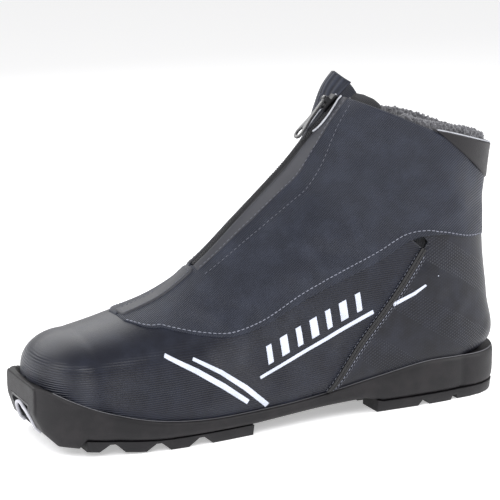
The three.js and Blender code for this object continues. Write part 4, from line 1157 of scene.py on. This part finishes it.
def lip_half(side):
    """The upper's half width at the height of the lip, by length."""
    us = np.arange(0.06, 0.78, 0.01)
    under = on_last(us, np.full_like(us, np.pi))
    us = us[under[:, 2] <= lip_z(under[:, 0])]
    a, b = np.full_like(us, np.pi / 2), np.full_like(us, np.pi)
    for _ in range(30):
        p = on_last(us, side * (a + b) / 2)
        is_above = p[:, 2] > lip_z(p[:, 0])
        a, b = np.where(is_above, (a + b) / 2, a), np.where(is_above, b, (a + b) / 2)
    p = on_last(us, side * a)
    order = np.argsort(p[:, 0])
    x, y = p[order, 0], np.abs(p[order, 1])
    keep = np.concatenate([[True], np.diff(x) > 0.5])
    half = curve(x[keep], y[keep])
    return lambda at: half(np.clip(at, x[keep][0], x[keep][-1]))


LIPS = lip_half(1), lip_half(-1)
HEEL_X = on_last(0.76, np.pi)[0] - 2 * LIP
HEEL_ROUND, TOE_ROUNDING, TOE_BLUNT = 34.0, 42.0, 6.0


def sole_half(x, k):
    """Half width of the sole: the lip's, closed by a squarish round heel and a blunt elliptic toe."""
    side = LIPS[k](x) + LIP
    heel = np.clip((HEEL_X + HEEL_ROUND - x) / HEEL_ROUND, 0, 1)
    toe = np.clip((x - (SOLE_FRONT - TOE_ROUNDING)) / (TOE_ROUNDING + TOE_BLUNT), 0, 1)
    heel_side = (LIPS[k](HEEL_X + HEEL_ROUND) + LIP) * (1 - heel**2.2) ** (1 / 2.2)
    toe_side = np.maximum((LIPS[k](SOLE_FRONT - TOE_ROUNDING) + LIP) * np.sqrt(1 - toe**2),
                          np.minimum(side, 40))
    return np.where(heel > 0, heel_side, np.where(toe > 0, toe_side, side))


EDGE_ROUND = 1.2
grow = HOUSING + 0.3
notch_at = BAR_X - 8 - grow
ease = 1 - np.cos(np.linspace(0, np.pi / 2, 26))
xs = np.concatenate([HEEL_X + 0.02 + ease * 34, np.linspace(HEEL_X + 35.5, notch_at - 0.02, 130),
                     [notch_at + 0.02], np.linspace(notch_at + 0.6, SOLE_FRONT - EDGE_ROUND, 30),
                     SOLE_FRONT - EDGE_ROUND * (1 - np.sin(np.linspace(0, 1, 6)[1:] * np.pi / 2))])
front = np.clip((xs - (SOLE_FRONT - EDGE_ROUND)) / EDGE_ROUND, 0, 1)
shrink = EDGE_ROUND * (1 - np.sqrt(1 - front**2))
outer_half, inner_half = sole_half(xs, 0) - shrink, sole_half(xs, 1) - shrink
low = TREAD + 0.3 + spring(xs) + base_z(xs) + ear_z(xs) + shrink
high = lip_z(xs) - shrink
roof = np.where(xs > notch_at, notch_z(xs) + grow, low)
shallow = np.minimum(1.0, np.minimum(outer_half, inner_half) / 12)
tall = high - low
last_u, last_f = np.meshgrid(np.linspace(0.01, 0.78, 260), np.linspace(92, 268, 200) * DEG, indexing="ij")
low_skin = on_last(last_u, last_f).reshape(-1, 3)


def skin_under(x, y):
    """Height of the upper's underside at (x, y): that of the nearest of a table of points, or 99 beyond
    the upper's outline."""
    heights = []
    for a, b in zip(x, y):
        far = ((low_skin[None, :, :2] - np.stack([a, b], -1)[:, None]) ** 2).sum(-1)
        k = far.argmin(1)
        heights.append(np.where(far[np.arange(len(k)), k] > 1.0, 99.0, low_skin[k, 2]))
    return np.array(heights)


# distance in from the wall and share of the height: from the wall's middle down and across the
# bottom, and from there up and across the lip
under = [(0.25, 0.55), (0.1, 0.42), (0.35, 0.28), (0.9, 0.14), (1.6, 0.06), (2.6, 0.012), (3.8, 0.0),
         (6.0, 0.0)]
over = [(0.25, 0.55), (0.12, 0.70), (0.15, 0.82), (0.45, 0.91), (1.1, 0.975), (1.9, 1.0), (3.1, 1.0),
        (6.0, 1.0)]


def chain(profile, middle_z, middle_y):
    """Points of a section from the inner wall to the outer wall."""
    left = [(-(inner_half - shallow * i), low + tall * h) for i, h in profile]
    right = [(outer_half - shallow * i, low + tall * h) for i, h in profile][::-1]
    middle = [(np.clip(np.full_like(xs, y), -(inner_half - 6 * shallow), outer_half - 6 * shallow), z)
              for y, z in zip(middle_y, middle_z)]
    ys, zs = zip(*(left + middle + right))
    return np.stack([np.broadcast_to(xs, (len(ys), len(xs))).T, np.array(ys).T, np.array(zs).T], -1)


half = NOTCH_HALF + grow
middle_y = [-half - 0.02, -half + 0.02, -7, 0, 7, half - 0.02, half + 0.02]
bottom = chain(under, [low, roof, roof, roof, roof, roof, low], middle_y)
top_line = chain(over, [high] * 7, middle_y)
inner = np.arange(6, top_line.shape[1] - 6)
cup = skin_under(top_line[:, inner, 0], top_line[:, inner, 1])
top_line[:, inner, 2] = np.clip(cup + 0.2, roof[:, None] + 0.8, top_line[:, inner, 2])
n = bottom.shape[1]
loop = np.concatenate([bottom, top_line[:, ::-1]], 1) * MM + MOVE
loop = np.concatenate([loop, loop[:, :1]], 1)
row = 2 * n + 1
k = np.arange(n - 1)
cap = np.stack([k, k + 1, 2 * n - 2 - k, 2 * n - 1 - k], -1)
faces = np.concatenate([cells(len(xs), row), cap, cap[:, ::-1] + row * (len(xs) - 1)])
sole = weld("sole_rubber", loop.reshape(-1, 3), faces, RUBBER)
b = bmesh.new()
b.from_mesh(sole.data)
bmesh.ops.recalc_face_normals(b, faces=b.faces)
for edge in b.edges:
    at_heel = edge.verts[0].co.x < MOVE[0] + (HEEL_X + 3) * MM
    if len(edge.link_faces) == 2 and edge.calc_face_angle(0) > 38 * DEG and not at_heel:
        edge.smooth = False
b.to_mesh(sole.data)
b.free()
own(sole, "boot", "sole_rubber", "outsole")

soften("toe_bar_housing", "notch_lining", INSERT, 0.0004, "boot", "notch_insert")
soften("forefoot_tread", "forefoot_lugs", RUBBER, 0.0005, "boot", "sole_rubber")
soften("heel_tread", "heel_lugs", RUBBER, 0.0005, "boot", "sole_rubber")
BAR_RADIUS = 2.0
fine = np.concatenate([np.linspace(-20, -19, 8)[:-1], np.linspace(-19, 19, 20), np.linspace(19, 20, 8)[1:]])
route = np.stack([np.full_like(fine, BAR_X), fine, np.full_like(fine, BAR_Z)], -1) * MM + MOVE
own(tube("bar_rod", route, np.tile([0, 0, 1.0], (len(fine), 1)), BAR_RADIUS * MM, STEEL, sides=32), "boot",
    "steel", "toe_bar")

# the light rim of the notch: an arch that follows the sole's sloping front
a = np.linspace(0.02, np.pi - 0.02, 90)
arch_z = 8.5 + 15.6 * np.sin(a)
arch_x = np.interp(arch_z, [5.7, 12, 22.8], [281.2, 287.5, SOLE_FRONT])
arch = np.stack([arch_x, 13.1 * np.cos(a), arch_z], -1)
inward = np.stack([0 * a, -np.cos(a), -np.sin(a)], -1)
CRESCENT = film("light_insert", (0.42, 0.42, 0.46), 0.22)
own(tube("notch_rim", arch * MM + MOVE, inward, 1.0 * MM, CRESCENT, sides=12), "boot", "notch_insert")
# painted highlight: a thin cord, lighter than the rubber, runs along the top of the lip and stands in for the
# bright line of light on its edge
LIP_HIGHLIGHT = film("painted_edge_highlight", (0.10, 0.10, 0.11), 0.4)
highlight_x = np.linspace(HEEL_X + 6, 284, 260)
for k, side, name in ((0, 1, "outer"), (1, -1, "inner")):
    route = np.stack([highlight_x, side * (sole_half(highlight_x, k) - 2.2), lip_z(highlight_x) + 0.05], -1) * MM + MOVE
    own(tube(f"lip_highlight_{name}", route, np.tile([0, 0, 1.0], (len(highlight_x), 1)), 0.00035, LIP_HIGHLIGHT, sides=8),
        "boot", "sole_rubber")

# ---- Camera, floor and lights ------------------------------------------------------------------
# The boot stands on a pale floor in soft light from four large lamps and an even sky. It is seen from
# its outer side and a little from above.
VIEW_AZIMUTH, VIEW_RISE, VIEW_DISTANCE = 155 * DEG, 13 * DEG, 1.2
LENS, AIM_LIFT, AIM_SIDE = 149.5, 0.0087, 0.0006


def aim(thing, at, target):
    """Puts a thing in its place and turns it to look at the target."""
    thing.location = at
    thing.rotation_euler = (Vector(target) - Vector(at)).to_track_quat("-Z", "Y").to_euler()


toward = Vector((math.sin(VIEW_AZIMUTH) * math.cos(VIEW_RISE), -math.cos(VIEW_AZIMUTH) * math.cos(VIEW_RISE),
                 math.sin(VIEW_RISE)))
right = Vector((math.cos(VIEW_AZIMUTH), math.sin(VIEW_AZIMUTH), 0))
BOOT_MIDDLE = Vector((0.150, 0, 0.088))
target = Vector(MOVE) + BOOT_MIDDLE + AIM_LIFT * toward.cross(right) - AIM_SIDE * right
camera = bpy.data.objects.new("camera", bpy.data.cameras.new("camera"))
camera.data.lens, camera.data.sensor_width = LENS, 36
bpy.context.scene.collection.objects.link(camera)
aim(camera, target + toward * VIEW_DISTANCE, target)
bpy.context.scene.camera = camera


def lamp(name, at, size, power):
    """A soft box of light that shines on the middle of the boot."""
    light = bpy.data.lights.new(name, "AREA")
    light.shape, light.size, light.size_y, light.energy = "RECTANGLE", *size, power
    thing = bpy.data.objects.new(name, light)
    bpy.context.scene.collection.objects.link(thing)
    aim(thing, at, (0, 0, 0.08))


lamp("key", (0.55, 0.75, 0.85), (0.7, 0.7), 8)
lamp("rim", (-0.8, 0.35, 0.6), (0.5, 0.9), 7)
lamp("toe", (0.95, -0.1, 0.45), (0.5, 0.8), 5)
lamp("far", (0.1, -0.9, 0.7), (1.2, 0.8), 6)
world = bpy.data.worlds.new("room")
world.use_nodes = True
world.node_tree.nodes["Background"].inputs["Color"].default_value = (1, 1, 1, 1)
world.node_tree.nodes["Background"].inputs["Strength"].default_value = 0.5
bpy.context.scene.world = world
bpy.context.scene.view_settings.view_transform = "Standard"
floor_finish = Finish("floor", Base_Color=(0.93, 0.93, 0.94), Roughness=0.6, Emission_Color=(1, 1, 1),
                      Emission_Strength=0.4)
floor = weld("floor", np.array([[-1, -1, 0], [1, -1, 0], [1, 1, 0], [-1, 1, 0]]) * 14.0,
             np.array([[0, 1, 2, 3]]), floor_finish.material)
